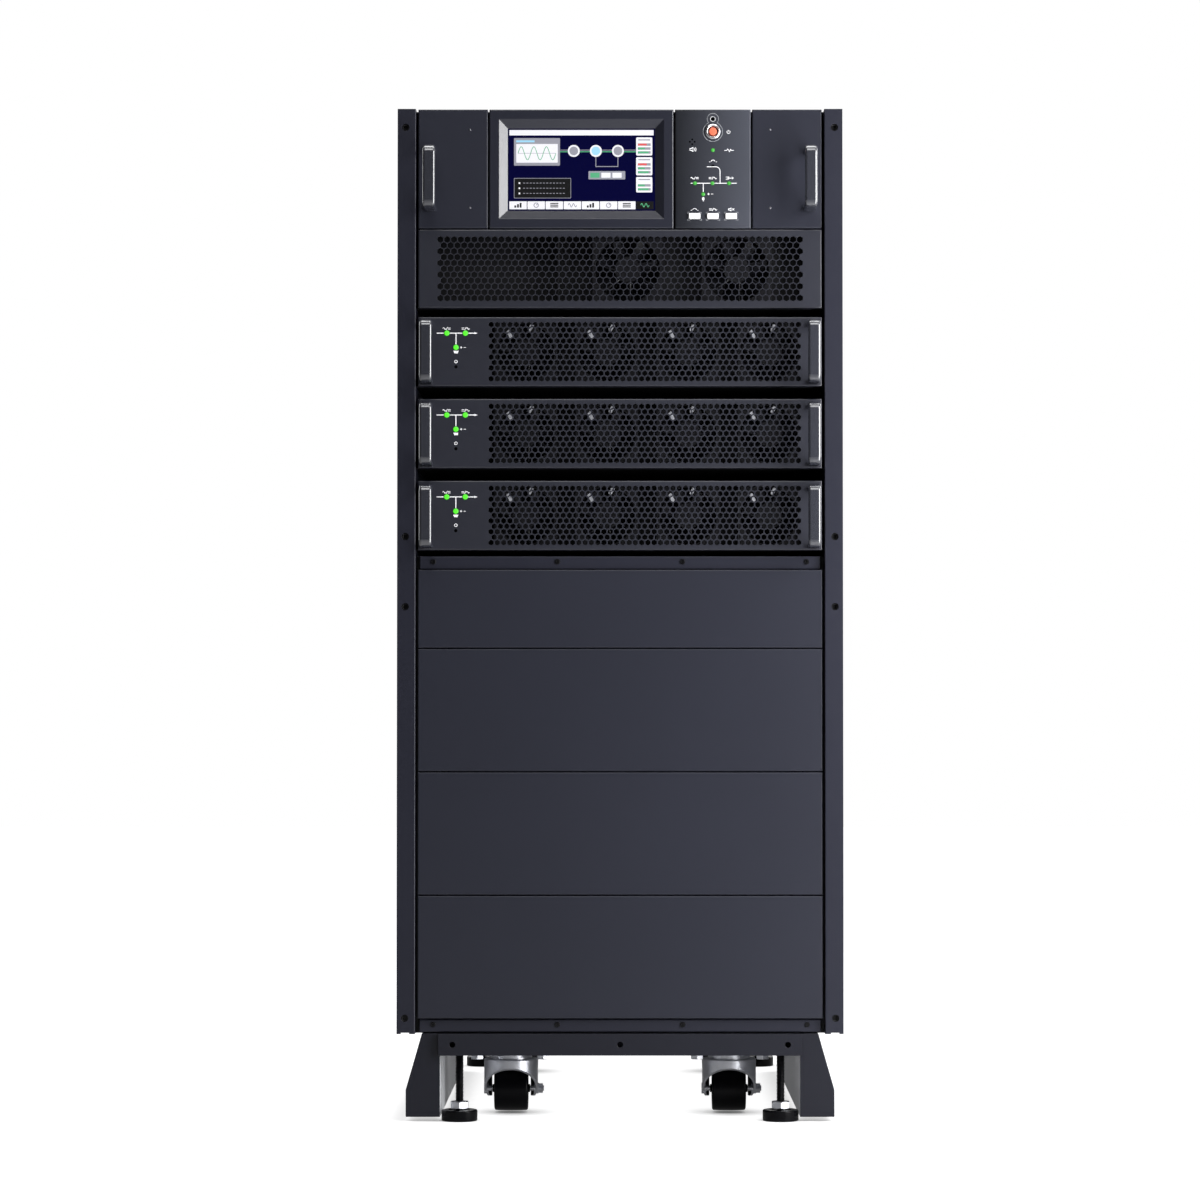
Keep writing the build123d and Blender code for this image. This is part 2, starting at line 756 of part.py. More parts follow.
# Battery section
save("battery_side_walls", both_sides(eared_wall((floor_z, split_z), battery_hole_drop, True)))
save("battery_deck", slab((-inner_x, inner_x), (face_back_y, rear_y - sheet), (split_z - sheet, split_z)))
save("battery_rear_panel", rear_panel((floor_z, split_z), []))
save("battery_floor", lipped_floor(floor_z, sheet + battery_trim_height, face_back_y))
post = slab(
    (inner_x - post_width, inner_x),
    (face_back_y, face_back_y + sheet),
    (floor_z + sheet + battery_trim_height, split_z - sheet),
)
save("battery_posts", both_sides(post))
fascia_low = split_z - fascia_height
save("battery_fascia", folded_front((-face_x, face_x), (fascia_low, split_z - slide_fit)))
trim_top = floor_z + sheet + battery_trim_height
cover_height = (fascia_low - trim_top - (cover_count + 1) * seam) / cover_count
covers = []
for n in range(cover_count):
    low_z = trim_top + seam + n * (cover_height + seam)
    covers.append(folded_front((-face_x, face_x), (low_z, low_z + cover_height)))
save("battery_covers", covers)
save("battery_lower_trim", trim_strip((floor_z + sheet, trim_top)))

# Base
front_beam_y = ear_y + beam_setback
rear_beam_y = rows_of_feet[1] + foot_setback - beam_depth
save("base_front_beam", channel_beam(front_beam_y, True))
save("base_rear_beam", channel_beam(rear_beam_y, False))
save("base_frame", base_frame((front_beam_y + beam_depth, rear_beam_y)))
save("stabilisers", both_sides(stabiliser()))
save("levelling_feet", [levelling_foot(x, y) for x in (-foot_x, foot_x) for y in rows_of_feet])
save("caster_plates", [caster_plate(x, y) for x in caster_sides.values() for y in caster_rows.values()])
for row, y in caster_rows.items():
    for side, x in caster_sides.items():
        save(f"caster_fork_{row}_{side}", caster_fork(x, y))
        save(f"caster_wheel_{row}_{side}", caster_wheel(x, y))
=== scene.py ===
# Looks of the modular power cabinet: finishes, fine vents, smooth handles, fasteners, legends and screen.
# Metres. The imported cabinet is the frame, and every piece is placed from its boxes.
import json
from math import cos, pi, radians, sin, sqrt

import bmesh
import bpy
import numpy as np
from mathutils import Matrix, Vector


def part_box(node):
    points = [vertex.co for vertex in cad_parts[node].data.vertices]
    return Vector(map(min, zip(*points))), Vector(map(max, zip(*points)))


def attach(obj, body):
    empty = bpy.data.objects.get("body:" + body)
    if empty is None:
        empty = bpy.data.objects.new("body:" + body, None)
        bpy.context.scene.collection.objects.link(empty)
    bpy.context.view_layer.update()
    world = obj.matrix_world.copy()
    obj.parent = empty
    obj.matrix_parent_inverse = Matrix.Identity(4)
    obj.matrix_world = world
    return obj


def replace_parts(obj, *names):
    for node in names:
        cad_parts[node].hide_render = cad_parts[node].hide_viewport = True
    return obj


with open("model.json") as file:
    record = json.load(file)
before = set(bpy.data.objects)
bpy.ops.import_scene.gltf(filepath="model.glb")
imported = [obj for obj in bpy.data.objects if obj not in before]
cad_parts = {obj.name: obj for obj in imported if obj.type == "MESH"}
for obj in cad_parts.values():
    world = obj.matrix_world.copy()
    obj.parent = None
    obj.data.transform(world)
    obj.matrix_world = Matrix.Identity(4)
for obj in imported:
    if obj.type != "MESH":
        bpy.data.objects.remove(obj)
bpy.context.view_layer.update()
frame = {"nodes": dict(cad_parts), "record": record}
mm = 0.001
mergeDistance = 1e-6
print("stage: frame loaded")


# Surfaces
def asPoints(*axes):
    return np.stack(axes, axis=-1)


def gridQuads(countU, countV, wrapU=False, wrapV=False):
    # each quad joins a grid point to its neighbours one step on in u, in v and in both
    u = np.arange(countU if wrapU else countU - 1)
    v = np.arange(countV if wrapV else countV - 1)
    a, b = np.meshgrid(u, v, indexing="ij")
    c, d = (a + 1) % countU, (b + 1) % countV
    corners = [a * countV + b, c * countV + b, c * countV + d, a * countV + d]
    return np.stack(corners, axis=-1).reshape(-1, 4)


def gridPart(points, wrapU=False, wrapV=False):
    return points.reshape(-1, 3), [gridQuads(points.shape[0], points.shape[1], wrapU, wrapV)]


def tubePart(rings):
    # rings of points closed in v, with the first and last ring filled as one face each
    count = rings.shape[1]
    last = (rings.shape[0] - 1) * count
    ends = np.stack([np.arange(count)[::-1], last + np.arange(count)])
    return rings.reshape(-1, 3), [gridQuads(rings.shape[0], count, False, True), ends]


def moved(part, offset):
    return part[0] + np.asarray(offset, float), part[1]


def mirrored(part):
    return part[0] * np.array([-1.0, 1.0, 1.0]), [faces[:, ::-1] for faces in part[1]]


def addToScene(piece):
    bpy.context.scene.collection.objects.link(piece)


def middleOf(nodeName):
    low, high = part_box(nodeName)
    return (low.x + high.x) / 2, (low.z + high.z) / 2


def makePiece(name, parts, materials, body, sharp=32, tints=None):
    # parts are lists of points with index arrays; tints picks a material for each part
    points, faces, indices, start = [], [], [], 0
    for number, (partPoints, partFaces) in enumerate(parts):
        for block in partFaces:
            faces.extend((block + start).tolist())
            indices.extend([tints[number] if tints else 0] * len(block))
        points.append(partPoints)
        start += len(partPoints)
    mesh = bpy.data.meshes.new(name)
    mesh.from_pydata(np.concatenate(points).tolist(), [], faces)
    for material in materials if isinstance(materials, list) else [materials]:
        mesh.materials.append(material)
    mesh.polygons.foreach_set("material_index", indices)
    return finishMesh(name, mesh, body, sharp)


def standIn(name, nodeName, parts, materials, sharp=32, tints=None):
    # a piece that rides where its node does and replaces it
    body, slotName = bodyOfNode[nodeName], slotOfNode[nodeName]
    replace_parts(makePiece(name, parts, materials, body, sharp, tints), nodeName)


def finishMesh(name, mesh, body, sharp=32):
    # doubles merged, faces turned outwards, smooth except along sharp edges
    work = bmesh.new()
    work.from_mesh(mesh)
    bmesh.ops.remove_doubles(work, verts=work.verts, dist=mergeDistance)
    bmesh.ops.recalc_face_normals(work, faces=work.faces)
    work.to_mesh(mesh)
    work.free()
    mesh.shade_smooth()
    mesh.set_sharp_from_angle(angle=radians(sharp))
    piece = bpy.data.objects.new(name, mesh)
    addToScene(piece)
    faceNormals(piece)
    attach(piece, body)
    return piece


def faceNormals(piece):
    # large flat faces keep their own normal, so that only the bends between them shade as round
    weighted = piece.modifiers.new("faceNormals", "WEIGHTED_NORMAL")
    weighted.keep_sharp = True


def turnedPart(profile, segments=32):
    # profile holds (radius, height) rows; a point is (r cos t, r sin t, h) for t round the circle
    t = np.linspace(0, 2 * pi, segments, endpoint=False)[None, :]
    r, h = profile[:, 0][:, None], profile[:, 1][:, None]
    points = asPoints(r * np.cos(t), r * np.sin(t), h + 0 * t)
    return gridPart(points, False, True)


def towardsFront(part):
    # height along the turning axis becomes distance out of the front, along -Y
    x, y, z = part[0].T
    return asPoints(x, -z, y), part[1]


def towardsRight(part):
    # height along the turning axis becomes distance along +X
    x, y, z = part[0].T
    return asPoints(z, x, y), part[1]


def roundedOutline(width, height, radius, steps=4):
    # quarter circles of that radius round the four corners, anticlockwise
    a = np.linspace(0, pi / 2, steps + 1)
    corner = asPoints(np.cos(a), np.sin(a)) * radius
    turns = [(1, 1, 0), (-1, 1, 1), (-1, -1, 2), (1, -1, 3)]
    rows = []
    for signX, signZ, quarter in turns:
        c, s = round(cos(quarter * pi / 2)), round(sin(quarter * pi / 2))
        spun = asPoints(corner[:, 0] * c - corner[:, 1] * s, corner[:, 0] * s + corner[:, 1] * c)
        rows.append(spun + [signX * (width / 2 - radius), signZ * (height / 2 - radius)])
    return np.concatenate(rows)


def platePart(outline, frontY, backY, ease=0.0):
    # an outline in X and Z carried from its back to its front, pulled in by ease at the front edge
    middle = (outline.min(0) + outline.max(0)) / 2
    half = (outline.max(0) - outline.min(0)) / 2
    shrunk = middle + (outline - middle) * (1 - ease / half)
    rings = [(outline, backY), (outline, frontY + ease), (shrunk, frontY)]
    if not ease:
        rings = [(outline, backY), (outline, frontY)]
    return tubePart(np.stack([np.insert(shape, 1, y, axis=1) for shape, y in rings]))


def inkPart(line, width, frontY, backY):
    # a flat line of even width: each point steps half a width both ways along the mitre of its two runs
    line = np.asarray(line, float)
    runs = np.diff(line, axis=0)
    runs /= np.linalg.norm(runs, axis=1)[:, None]
    sides = asPoints(-runs[:, 1], runs[:, 0])
    closed = np.allclose(line[0], line[-1])
    before = np.concatenate([sides[-1:] if closed else sides[:1], sides])
    after = np.concatenate([sides, sides[:1] if closed else sides[-1:]])
    mitre = before + after
    mitre /= (mitre * before).sum(1)[:, None]
    left, right = line + mitre * width / 2, line - mitre * width / 2
    section = [(left, frontY), (left, backY), (right, backY), (right, frontY)]
    rings = np.stack([np.insert(edge, 1, y, axis=1) for edge, y in section], axis=1)
    return gridPart(rings[:-1], True, True) if closed else tubePart(rings)


def arcLine(x, z, radius, fromDegrees, toDegrees, steps=12):
    a = np.radians(np.linspace(fromDegrees, toDegrees, steps + 1))
    return asPoints(x + radius * np.cos(a), z + radius * np.sin(a))


def discOutline(x, z, radius, steps=24):
    return arcLine(x, z, radius, 0, 360, steps)[:-1]


def domePart(radius, height, segments=20, steps=5):
    # a quarter ellipse turned about its axis: radius times cos s, height times sin s
    s = np.linspace(0, pi / 2, steps + 1)
    return turnedPart(asPoints(radius * np.cos(s), height * np.sin(s)), segments)


def atPlaces(part, places):
    return [moved(part, place) for place in places]


# Finishes
finish = {
    "frameBase": (0.021, 0.022, 0.034),
    "frontBase": (0.0235, 0.025, 0.037),
    "handleBase": (0.036, 0.038, 0.050),
    "innerBase": (0.007, 0.007, 0.009),
    "grainScale": 1500.0,
    "grainDepth": 0.000006,
    "cloudScale": 5.0,
    "glossScale": 150.0,
    "litScale": 400.0,
    "litShare": 0.35,
}


def newMaterial(name):
    material = bpy.data.materials.new(name)
    material.use_nodes = True
    return material, material.node_tree, material.node_tree.nodes["Principled BSDF"]


def addNode(tree, kind, **settings):
    node = tree.nodes.new(kind)
    for key, value in settings.items():
        if hasattr(node, key):
            setattr(node, key, value)
        else:
            node.inputs[key.replace("_", " ")].default_value = value
    return node


def setInputs(node, values):
    for key, value in values.items():
        node.inputs[key].default_value = value


def join(tree, *links):
    # each link names a node, its output, the node it goes to and the input there
    for source, output, target, entry in links:
        tree.links.new(source.outputs[output], target.inputs[entry])


def noiseOf(tree, scale, detail=3.0, stretch=(1.0, 1.0, 1.0)):
    coordinates = addNode(tree, "ShaderNodeTexCoord")
    mapping = addNode(tree, "ShaderNodeMapping")
    mapping.inputs["Scale"].default_value = stretch
    noise = addNode(tree, "ShaderNodeTexNoise", Scale=scale, Detail=detail)
    join(tree, (coordinates, "Object", mapping, "Vector"), (mapping, "Vector", noise, "Vector"))
    return noise.outputs["Fac"]


def setGloss(tree, shader, clouds, roughness, spread):
    change = addNode(tree, "ShaderNodeMapRange")
    setInputs(change, {"To Min": roughness - spread, "To Max": roughness + spread})
    tree.links.new(clouds, change.inputs["Value"])
    join(tree, (change, "Result", shader, "Roughness"))


def tintOf(tree, value, base, spread):
    # the base colour, darker and lighter by the spread as the value goes from 0 to 1
    ramp = addNode(tree, "ShaderNodeMix", data_type="RGBA")
    for end, share in (("A", 1 - spread), ("B", 1 + spread)):
        ramp.inputs[end].default_value = (*[c * share for c in base], 1)
    tree.links.new(value, ramp.inputs["Factor"])
    return ramp.outputs["Result"]


def grain(tree, shader, scale, depth, stretch=(1.0, 1.0, 1.0)):
    bump = addNode(tree, "ShaderNodeBump", Strength=1.0, Distance=depth)
    tree.links.new(noiseOf(tree, scale, 2.0, stretch), bump.inputs["Height"])
    tree.links.new(bump.outputs["Normal"], shader.inputs["Normal"])


def coated(
    name, base, roughness, grainScale=None, grainDepth=None, spread=0.1, metallic=0.0, stretch=(1, 1, 1),
    shine=0.35, paintedGlow=0.0, bending=1.5, glossSpread=0.05,
):
    # a surface with slow clouds of tone, finer clouds of gloss and a fine raised grain; a glow above zero
    # makes it give off its base colour, which is painted light
    material, tree, shader = newMaterial(name)
    setInputs(shader, {
        "Metallic": metallic, "Specular IOR Level": shine, "IOR": bending,
        "Emission Color": (*base, 1), "Emission Strength": paintedGlow,
    })
    clouds = noiseOf(tree, finish["cloudScale"])
    tree.links.new(tintOf(tree, clouds, base, spread), shader.inputs["Base Color"])
    gloss = noiseOf(tree, finish["glossScale"], 2.0, stretch)
    setGloss(tree, shader, gloss, roughness, glossSpread)
    grain(tree, shader, grainScale or finish["grainScale"], grainDepth or finish["grainDepth"], stretch)
    return material


def glowing(name, colour, strength, roughness=0.37, glossSpread=0.08):
    # a lit face: the colour glows, with a little cloudiness in its gloss
    material, tree, shader = newMaterial(name)
    setInputs(shader, {
        "Base Color": (*[c * finish["litShare"] for c in colour], 1),
        "Emission Color": (*colour, 1), "Emission Strength": strength,
    })
    setGloss(tree, shader, noiseOf(tree, finish["litScale"]), roughness, glossSpread)
    return material


framePaint = coated("framePaint", finish["frameBase"], 0.34)
basePaint = coated("basePaint", [c * 0.62 for c in finish["frameBase"]], 0.36)
frontPaint = coated("frontPaint", finish["frontBase"], 0.34, shine=0.4)
ventPaint = coated("ventPaint", [c * 0.9 for c in finish["frontBase"]], 0.33, shine=0.6, bending=1.6)
bezelPlastic = coated("bezelPlastic", finish["frontBase"], 0.21, 2200.0, 0.000008, shine=0.8)
handlePaint = coated("handlePaint", finish["handleBase"], 0.17, 2500.0, 0.000006, shine=1.0, bending=1.8)
innerSteel = coated("innerSteel", finish["innerBase"], 0.5)
fanPlastic = coated("fanPlastic", (0.010, 0.010, 0.013), 0.34, 900.0, 0.00001, shine=0.5)
footBlack = coated("footBlack", (0.002, 0.002, 0.003), 0.2, 700.0, 0.000003, shine=0.12)
rodBlack = coated("rodBlack", (0.003, 0.003, 0.004), 0.36, 900.0, 0.00001, shine=0.15)
wheelBlack = coated("wheelBlack", (0.002, 0.002, 0.003), 0.34, 500.0, 0.00002, shine=0.12)
screwBlack = coated("screwBlack", (0.005, 0.005, 0.006), 0.34, 1200.0, 0.00001, shine=0.3)
zincPlate = coated("zincPlate", (0.56, 0.57, 0.61), 0.33, 900.0, 0.000003, 0.03, 1.0, glossSpread=0.02)
chrome = coated("chrome", (0.86, 0.86, 0.88), 0.22, 300.0, 0.000004, 0.04, 1.0, glossSpread=0.03)
buttonRed = coated("buttonRed", (0.90, 0.20, 0.11), 0.38, 800.0, 0.00001)
# white keys and white print: their real white, plus a glow of that white as painted light
keyWhitePaintedGlow = coated("keyWhitePaintedGlow", (0.92, 0.92, 0.92), 0.42, 900.0, 0.00001, 0.03, paintedGlow=0.15)
inkWhitePaintedGlow = coated("inkWhitePaintedGlow", (0.90, 0.90, 0.92), 0.55, 900.0, 0.00001, 0.05, paintedGlow=0.25)
inkGrey = coated("inkGrey", (0.46, 0.47, 0.50), 0.5, 900.0, 0.00001, 0.08)
paintedHoleShade = coated("paintedHoleShade", (0.001, 0.001, 0.001), 0.9, 900.0, 0.00001, shine=0.02)
ledGreen = glowing("ledGreen", (0.10, 0.86, 0.03), 0.9)
ledRim = coated("ledRim", (0.03, 0.17, 0.03), 0.35, 900.0, 0.00001)
studMetal = coated("studMetal", (0.22, 0.22, 0.24), 0.4, 900.0, 0.00001, 0.05, 1.0)
# a light grey that glows: painted highlights for the fans' blades
glintPaintedPlastic = coated("glintPaintedPlastic", (0.50, 0.51, 0.55), 0.36, 900.0, 0.00001, paintedGlow=0.22)
# light grey with a little glow for the brackets' inner walls: a painted reflection of the bright floor
paintedReflectionGrey = coated("paintedReflectionGrey", (0.80, 0.81, 0.84), 0.5, 120.0, 0.00003, 0.10, 0.2, paintedGlow=0.06)
ledDim = glowing("ledDim", (0.07, 0.50, 0.06), 0.7)
navyGlass = glowing("navyGlass", (0.001, 0.001, 0.030), 0.8, 0.16)
litWhite = glowing("litWhite", (0.84, 0.84, 0.88), 0.80)
litGrey = glowing("litGrey", (0.30, 0.30, 0.35), 0.8)
litGreen = glowing("litGreen", (0.09, 0.40, 0.20), 0.8)
litRed = glowing("litRed", (0.72, 0.10, 0.10), 0.8)
litBlue = glowing("litBlue", (0.34, 0.66, 0.86), 0.8)
litBlack = glowing("litBlack", (0.002, 0.002, 0.003), 0.5)


def paintedLightFilmOf(name, nodeName, leftShadedBase, rightLitBase, roughness, glossSpread=0.04):
    # a printed film with painted light: its colour runs from a dark left edge of the node's box to a light
    # right edge, painted shade standing in for light falling from the right
    material, tree, shader = newMaterial(name)
    low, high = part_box(nodeName)
    coordinates = addNode(tree, "ShaderNodeTexCoord")
    mapping = addNode(tree, "ShaderNodeMapping")
    width = high.x - low.x
    setInputs(mapping, {"Location": (-low.x / width, 0, 0), "Scale": (1 / width, 1, 1)})
    split = addNode(tree, "ShaderNodeSeparateXYZ")
    ramp = addNode(tree, "ShaderNodeMix", data_type="RGBA")
    setInputs(ramp, {"A": (*leftShadedBase, 1), "B": (*rightLitBase, 1)})
    join(
        tree, (coordinates, "Object", mapping, "Vector"), (mapping, "Vector", split, 0),
        (split, "X", ramp, "Factor"), (ramp, "Result", shader, "Base Color"),
    )
    gloss = noiseOf(tree, finish["glossScale"], 2.0)
    setGloss(tree, shader, gloss, roughness, glossSpread)
    grain(tree, shader, 2600.0, 0.000006)
    return material


# the control panel is painted dark at its left and light at its right, as painted light from the key lamp on
# the right
controlFilmPaintedLight = paintedLightFilmOf("controlFilmPaintedLight", "control_panel", (0.009, 0.010, 0.014), (0.072, 0.077, 0.098), 0.33)

slotMaterials = {
    "frame_paint": framePaint,
    "front_paint": frontPaint,
    "handle_paint": handlePaint,
    "inner_steel": innerSteel,
    "screen": navyGlass,
    "collar_metal": chrome,
    "button_red": buttonRed,
    "key_white": keyWhitePaintedGlow,
    "fan_plastic": fanPlastic,
    "foot_black": footBlack,
    "zinc": zincPlate,
    "wheel_black": wheelBlack,
}
slotOfNode = {row["node"]: row["material_slot"] for row in frame["record"]["subparts"]}
bodyOfNode = {n: b for b, members in frame["record"]["behaviour"]["bodies"].items() for n in members}
for nodeName, node in frame["nodes"].items():
    node.data.materials.clear()
    node.data.materials.append(slotMaterials[slotOfNode[nodeName]])
frame["nodes"]["display_bezel"].data.materials[0] = bezelPlastic
frame["nodes"]["control_panel"].data.materials[0] = controlFilmPaintedLight
for nodeName in ("base_front_beam", "base_rear_beam", "base_frame", "stabilisers"):
    frame["nodes"][nodeName].data.materials[0] = basePaint
print("stage: finishes")


# Eased copies of folded sheet and pressed parts
easing = {
    "ups_side_walls": 0.35, "ups_top_cover": 0.35, "ups_rear_panel": 0.3, "ups_floor": 0.3,
    "ups_lower_trim": 0.3, "blank_panels": 0.3, "display_bezel": 0.45, "control_panel": 0.3,
    "battery_side_walls": 0.35, "battery_rear_panel": 0.3, "battery_fascia": 0.3, "battery_covers": 0.3,
    "battery_lower_trim": 0.3, "base_front_beam": 0.6, "base_rear_beam": 0.6, "base_frame": 0.6,
    "stabilisers": 0.6, "caster_plates": 0.5,
}
easeAngle = 35
slopeAngle = 22  # below the slope of the display surround, so that its edges count as edges
flatAngle = 1
forkEase = 0.4


def easedCopy(nodeName, width, sharp=40, limit=easeAngle):
    # the node's own surface, its loose triangles merged into flat faces, with a small round on hard edges
    mesh = frame["nodes"][nodeName].data.copy()
    work = bmesh.new()
    work.from_mesh(mesh)
    bmesh.ops.remove_doubles(work, verts=work.verts, dist=mergeDistance)
    bmesh.ops.dissolve_limit(work, angle_limit=radians(flatAngle), verts=work.verts, edges=work.edges)
    work.to_mesh(mesh)
    work.free()
    mesh.shade_smooth()
    mesh.set_sharp_from_angle(angle=radians(sharp))
    piece = bpy.data.objects.new(nodeName + "_eased", mesh)
    addToScene(piece)
    edgeRound = piece.modifiers.new("edgeRound", "BEVEL")
    edgeRound.width = width * mm
    edgeRound.segments = 2
    edgeRound.limit_method = "ANGLE"
    edgeRound.angle_limit = radians(limit)
    faceNormals(piece)
    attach(piece, bodyOfNode[nodeName])
    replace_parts(piece, nodeName)


for nodeName, width in easing.items():
    if nodeName == "display_bezel":
        easedCopy(nodeName, width, slopeAngle, slopeAngle)
    else:
        easedCopy(nodeName, width)
for nodeName in sorted(frame["nodes"]):
    if nodeName.startswith("caster_fork"):
        easedCopy(nodeName, forkEase)

bracketWall = 1.9 * mm  # how far inside the base's side a face is to count as the inner wall, whose light glowing grey is a painted reflection
bracketFacing = 0.9
# the bracket's inner faces take a light grey with a little glow: a painted reflection of the white floor and
# backdrop on the dark paint
bracket = bpy.data.objects["stabilisers_eased"].data
bracket.materials.append(paintedReflectionGrey)
facing, centres = np.empty(len(bracket.polygons) * 3), np.empty(len(bracket.polygons) * 3)
bracket.polygons.foreach_get("normal", facing)
bracket.polygons.foreach_get("center", centres)
facing, centres = facing.reshape(-1, 3)[:, 0], centres.reshape(-1, 3)[:, 0]
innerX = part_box("base_front_beam")[1].x - bracketWall
reflectionPaintedFaces = (facing * np.sign(centres) < -bracketFacing) & (np.abs(centres) < innerX)
bracket.polygons.foreach_set("material_index", reflectionPaintedFaces.astype(np.int32))
print("stage: eased copies")


# Fine hexagonal vents
vents = {
    "moduleColumns": 50,
    "modulePitch": 6.8 * mm,
    "moduleFlats": 5.3 * mm,
    "moduleLeft": 76.3 * mm,
    "moduleRight": 22.9 * mm,
    "panelColumns": 54,
    "panelPitch": 7.36 * mm,
    "panelFlats": 6.4 * mm,
    "rows": 11,
    "sheet": 1.5 * mm,
    "bend": 1.5 * mm,
    "bendSteps": 5,
    "flatHold": 0.3 * mm,
    "straightGap": 0.4 * mm,
    "borderShare": 0.9999,
    "holeEase": 0.18 * mm,
}


def hexField(centre, columns, pitch, flats, frontY, backY):
    # each cell is a hexagon with a hexagonal hole: rings run from the cell's front edge over the eased
    # edge of the hole, down its wall and out to the cell's back edge
    rows, ease = vents["rows"], vents["holeEase"]
    rowPitch = pitch * sqrt(3) / 2
    row, column = np.meshgrid(np.arange(rows), np.arange(columns), indexing="ij")
    kept = column < columns - row % 2
    x = centre[0] + (column - (columns - 1) / 2 + row % 2 / 2) * pitch
    z = centre[1] + ((rows - 1) / 2 - row) * rowPitch
    centres = asPoints(x[kept], z[kept])
    a = np.radians(90 + 60 * np.arange(6))
    corner = asPoints(np.cos(a), np.sin(a))
    cellRadius, holeRadius = pitch / sqrt(3), flats / sqrt(3)
    rings = [(cellRadius, frontY), (holeRadius + ease, frontY), (holeRadius, frontY + ease)]
    rings += [(holeRadius, backY), (cellRadius, backY)]
    radius = np.array([r for r, y in rings])[None, :, None, None]
    depth = np.array([y for r, y in rings])[None, :, None]
    flat = centres[:, None, None, :] + radius * corner[None, None]
    points = asPoints(flat[..., 0], depth + 0 * flat[..., 0], flat[..., 1])
    cell, ring, side = np.meshgrid(np.arange(len(centres)), np.arange(4), np.arange(6), indexing="ij")
    base, step = (cell * 5 + ring) * 6, (side + 1) % 6
    quads = asPoints(base + side, base + step, base + 6 + step, base + 6 + side)
    return points.reshape(-1, 3), [quads.reshape(-1, 4)]


def fieldEdge(centre, columns, pitch):
    # the zigzag outline of the field, clockwise from its top left, and where each point falls on a square
    rows = vents["rows"]
    rowPitch, cellRadius = pitch * sqrt(3) / 2, pitch / sqrt(3)
    halfWidth, topZ = columns * pitch / 2, (rows - 1) / 2 * rowPitch + cellRadius / 2
    k = np.arange(2 * columns + 1)
    acrossX, acrossZ = -halfWidth + k * pitch / 2, topZ + k % 2 * cellRadius / 2
    row = np.repeat(np.arange(rows), 2)
    downZ = ((rows - 1) / 2 - row) * rowPitch + np.tile([0.5, -0.5], rows) * cellRadius
    downX = halfWidth - row % 2 * pitch / 2
    x = np.concatenate([acrossX, downX[1:], acrossX[::-1][1:], -downX[::-1][1:-1]])
    z = np.concatenate([acrossZ, downZ[1:], -acrossZ[1:], downZ[::-1][1:-1]])
    count = [len(k), len(row) - 1, len(k) - 1, len(row) - 2]
    shareX, shareZ = acrossX / halfWidth, downZ / topZ
    u = np.concatenate([shareX, np.ones(count[1]), shareX[::-1][1:], -np.ones(count[3])])
    v = np.concatenate([np.ones(count[0]), shareZ[1:], -np.ones(count[2]), shareZ[::-1][1:-1]])
    edge = asPoints(x + centre[0], z + centre[1])
    return edge, asPoints(u, v)


def ventedFront(name, nodeName, columns, pitch, flats, leftMargin, rightMargin):
    # the field, a straight frame just round it, then a profile carried on: out over the flat margin,
    # round the bend, back along the flange, round its edge and inside again to the back of the field
    low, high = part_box(nodeName)
    frontY, backY, sheet, bend = low.y, high.y, vents["sheet"], vents["bend"]
    centre = ((low.x + leftMargin + high.x - rightMargin) / 2, (low.z + high.z) / 2)
    edge, square = fieldEdge(centre, columns, pitch)
    reach = np.array([columns * pitch / 2, (vents["rows"] - 1) / 2 * pitch * sqrt(3) / 2 + pitch / sqrt(3)])
    onBorder = np.abs(square) > vents["borderShare"]
    straight = np.where(onBorder, centre + square * (reach + vents["straightGap"]), edge)
    middle = np.array([(low.x + high.x) / 2, (low.z + high.z) / 2])
    half = np.array([(high.x - low.x) / 2, (high.z - low.z) / 2])
    a = np.linspace(0, pi / 2, vents["bendSteps"] + 1)
    stations = list(zip(bend * (1 - np.sin(a)), frontY + bend * (1 - np.cos(a))))
    stations += [(0.0, backY), (sheet, backY), (sheet, frontY + sheet)]
    stations.insert(0, (bend + vents["flatHold"], frontY))
    rings = [np.insert(shape, 1, frontY, axis=1) for shape in (edge, straight)]
    rings += [np.insert(middle + square * (half - inset), 1, y, axis=1) for inset, y in stations]
    rings += [np.insert(shape, 1, frontY + sheet, axis=1) for shape in (straight, edge)]
    parts = [hexField(centre, columns, pitch, flats, frontY, frontY + sheet)]
    parts.append(gridPart(np.stack(rings), False, True))
    standIn(name, nodeName, parts, ventPaint, 40)


for number in (1, 2, 3):
    ventedFront(
        f"module_{number}_vented_front", f"module_{number}_front", vents["moduleColumns"],
        vents["modulePitch"], vents["moduleFlats"], vents["moduleLeft"], vents["moduleRight"],
    )
ventedFront(
    "vent_panel_fine", "vent_panel", vents["panelColumns"],
    vents["panelPitch"], vents["panelFlats"], 0.0, 0.0,
)
print("stage: vents")


# Bow handles
handle = {
    "thickness": 6.0 * mm,
    "bendRadius": 5.5 * mm,
    "bendSteps": 10,
    "cornerRadius": 2.9 * mm,
    "cornerSteps": 6,
    "barWidth": 13.6 * mm,
    "moduleDrop": 2.4 * mm,
}


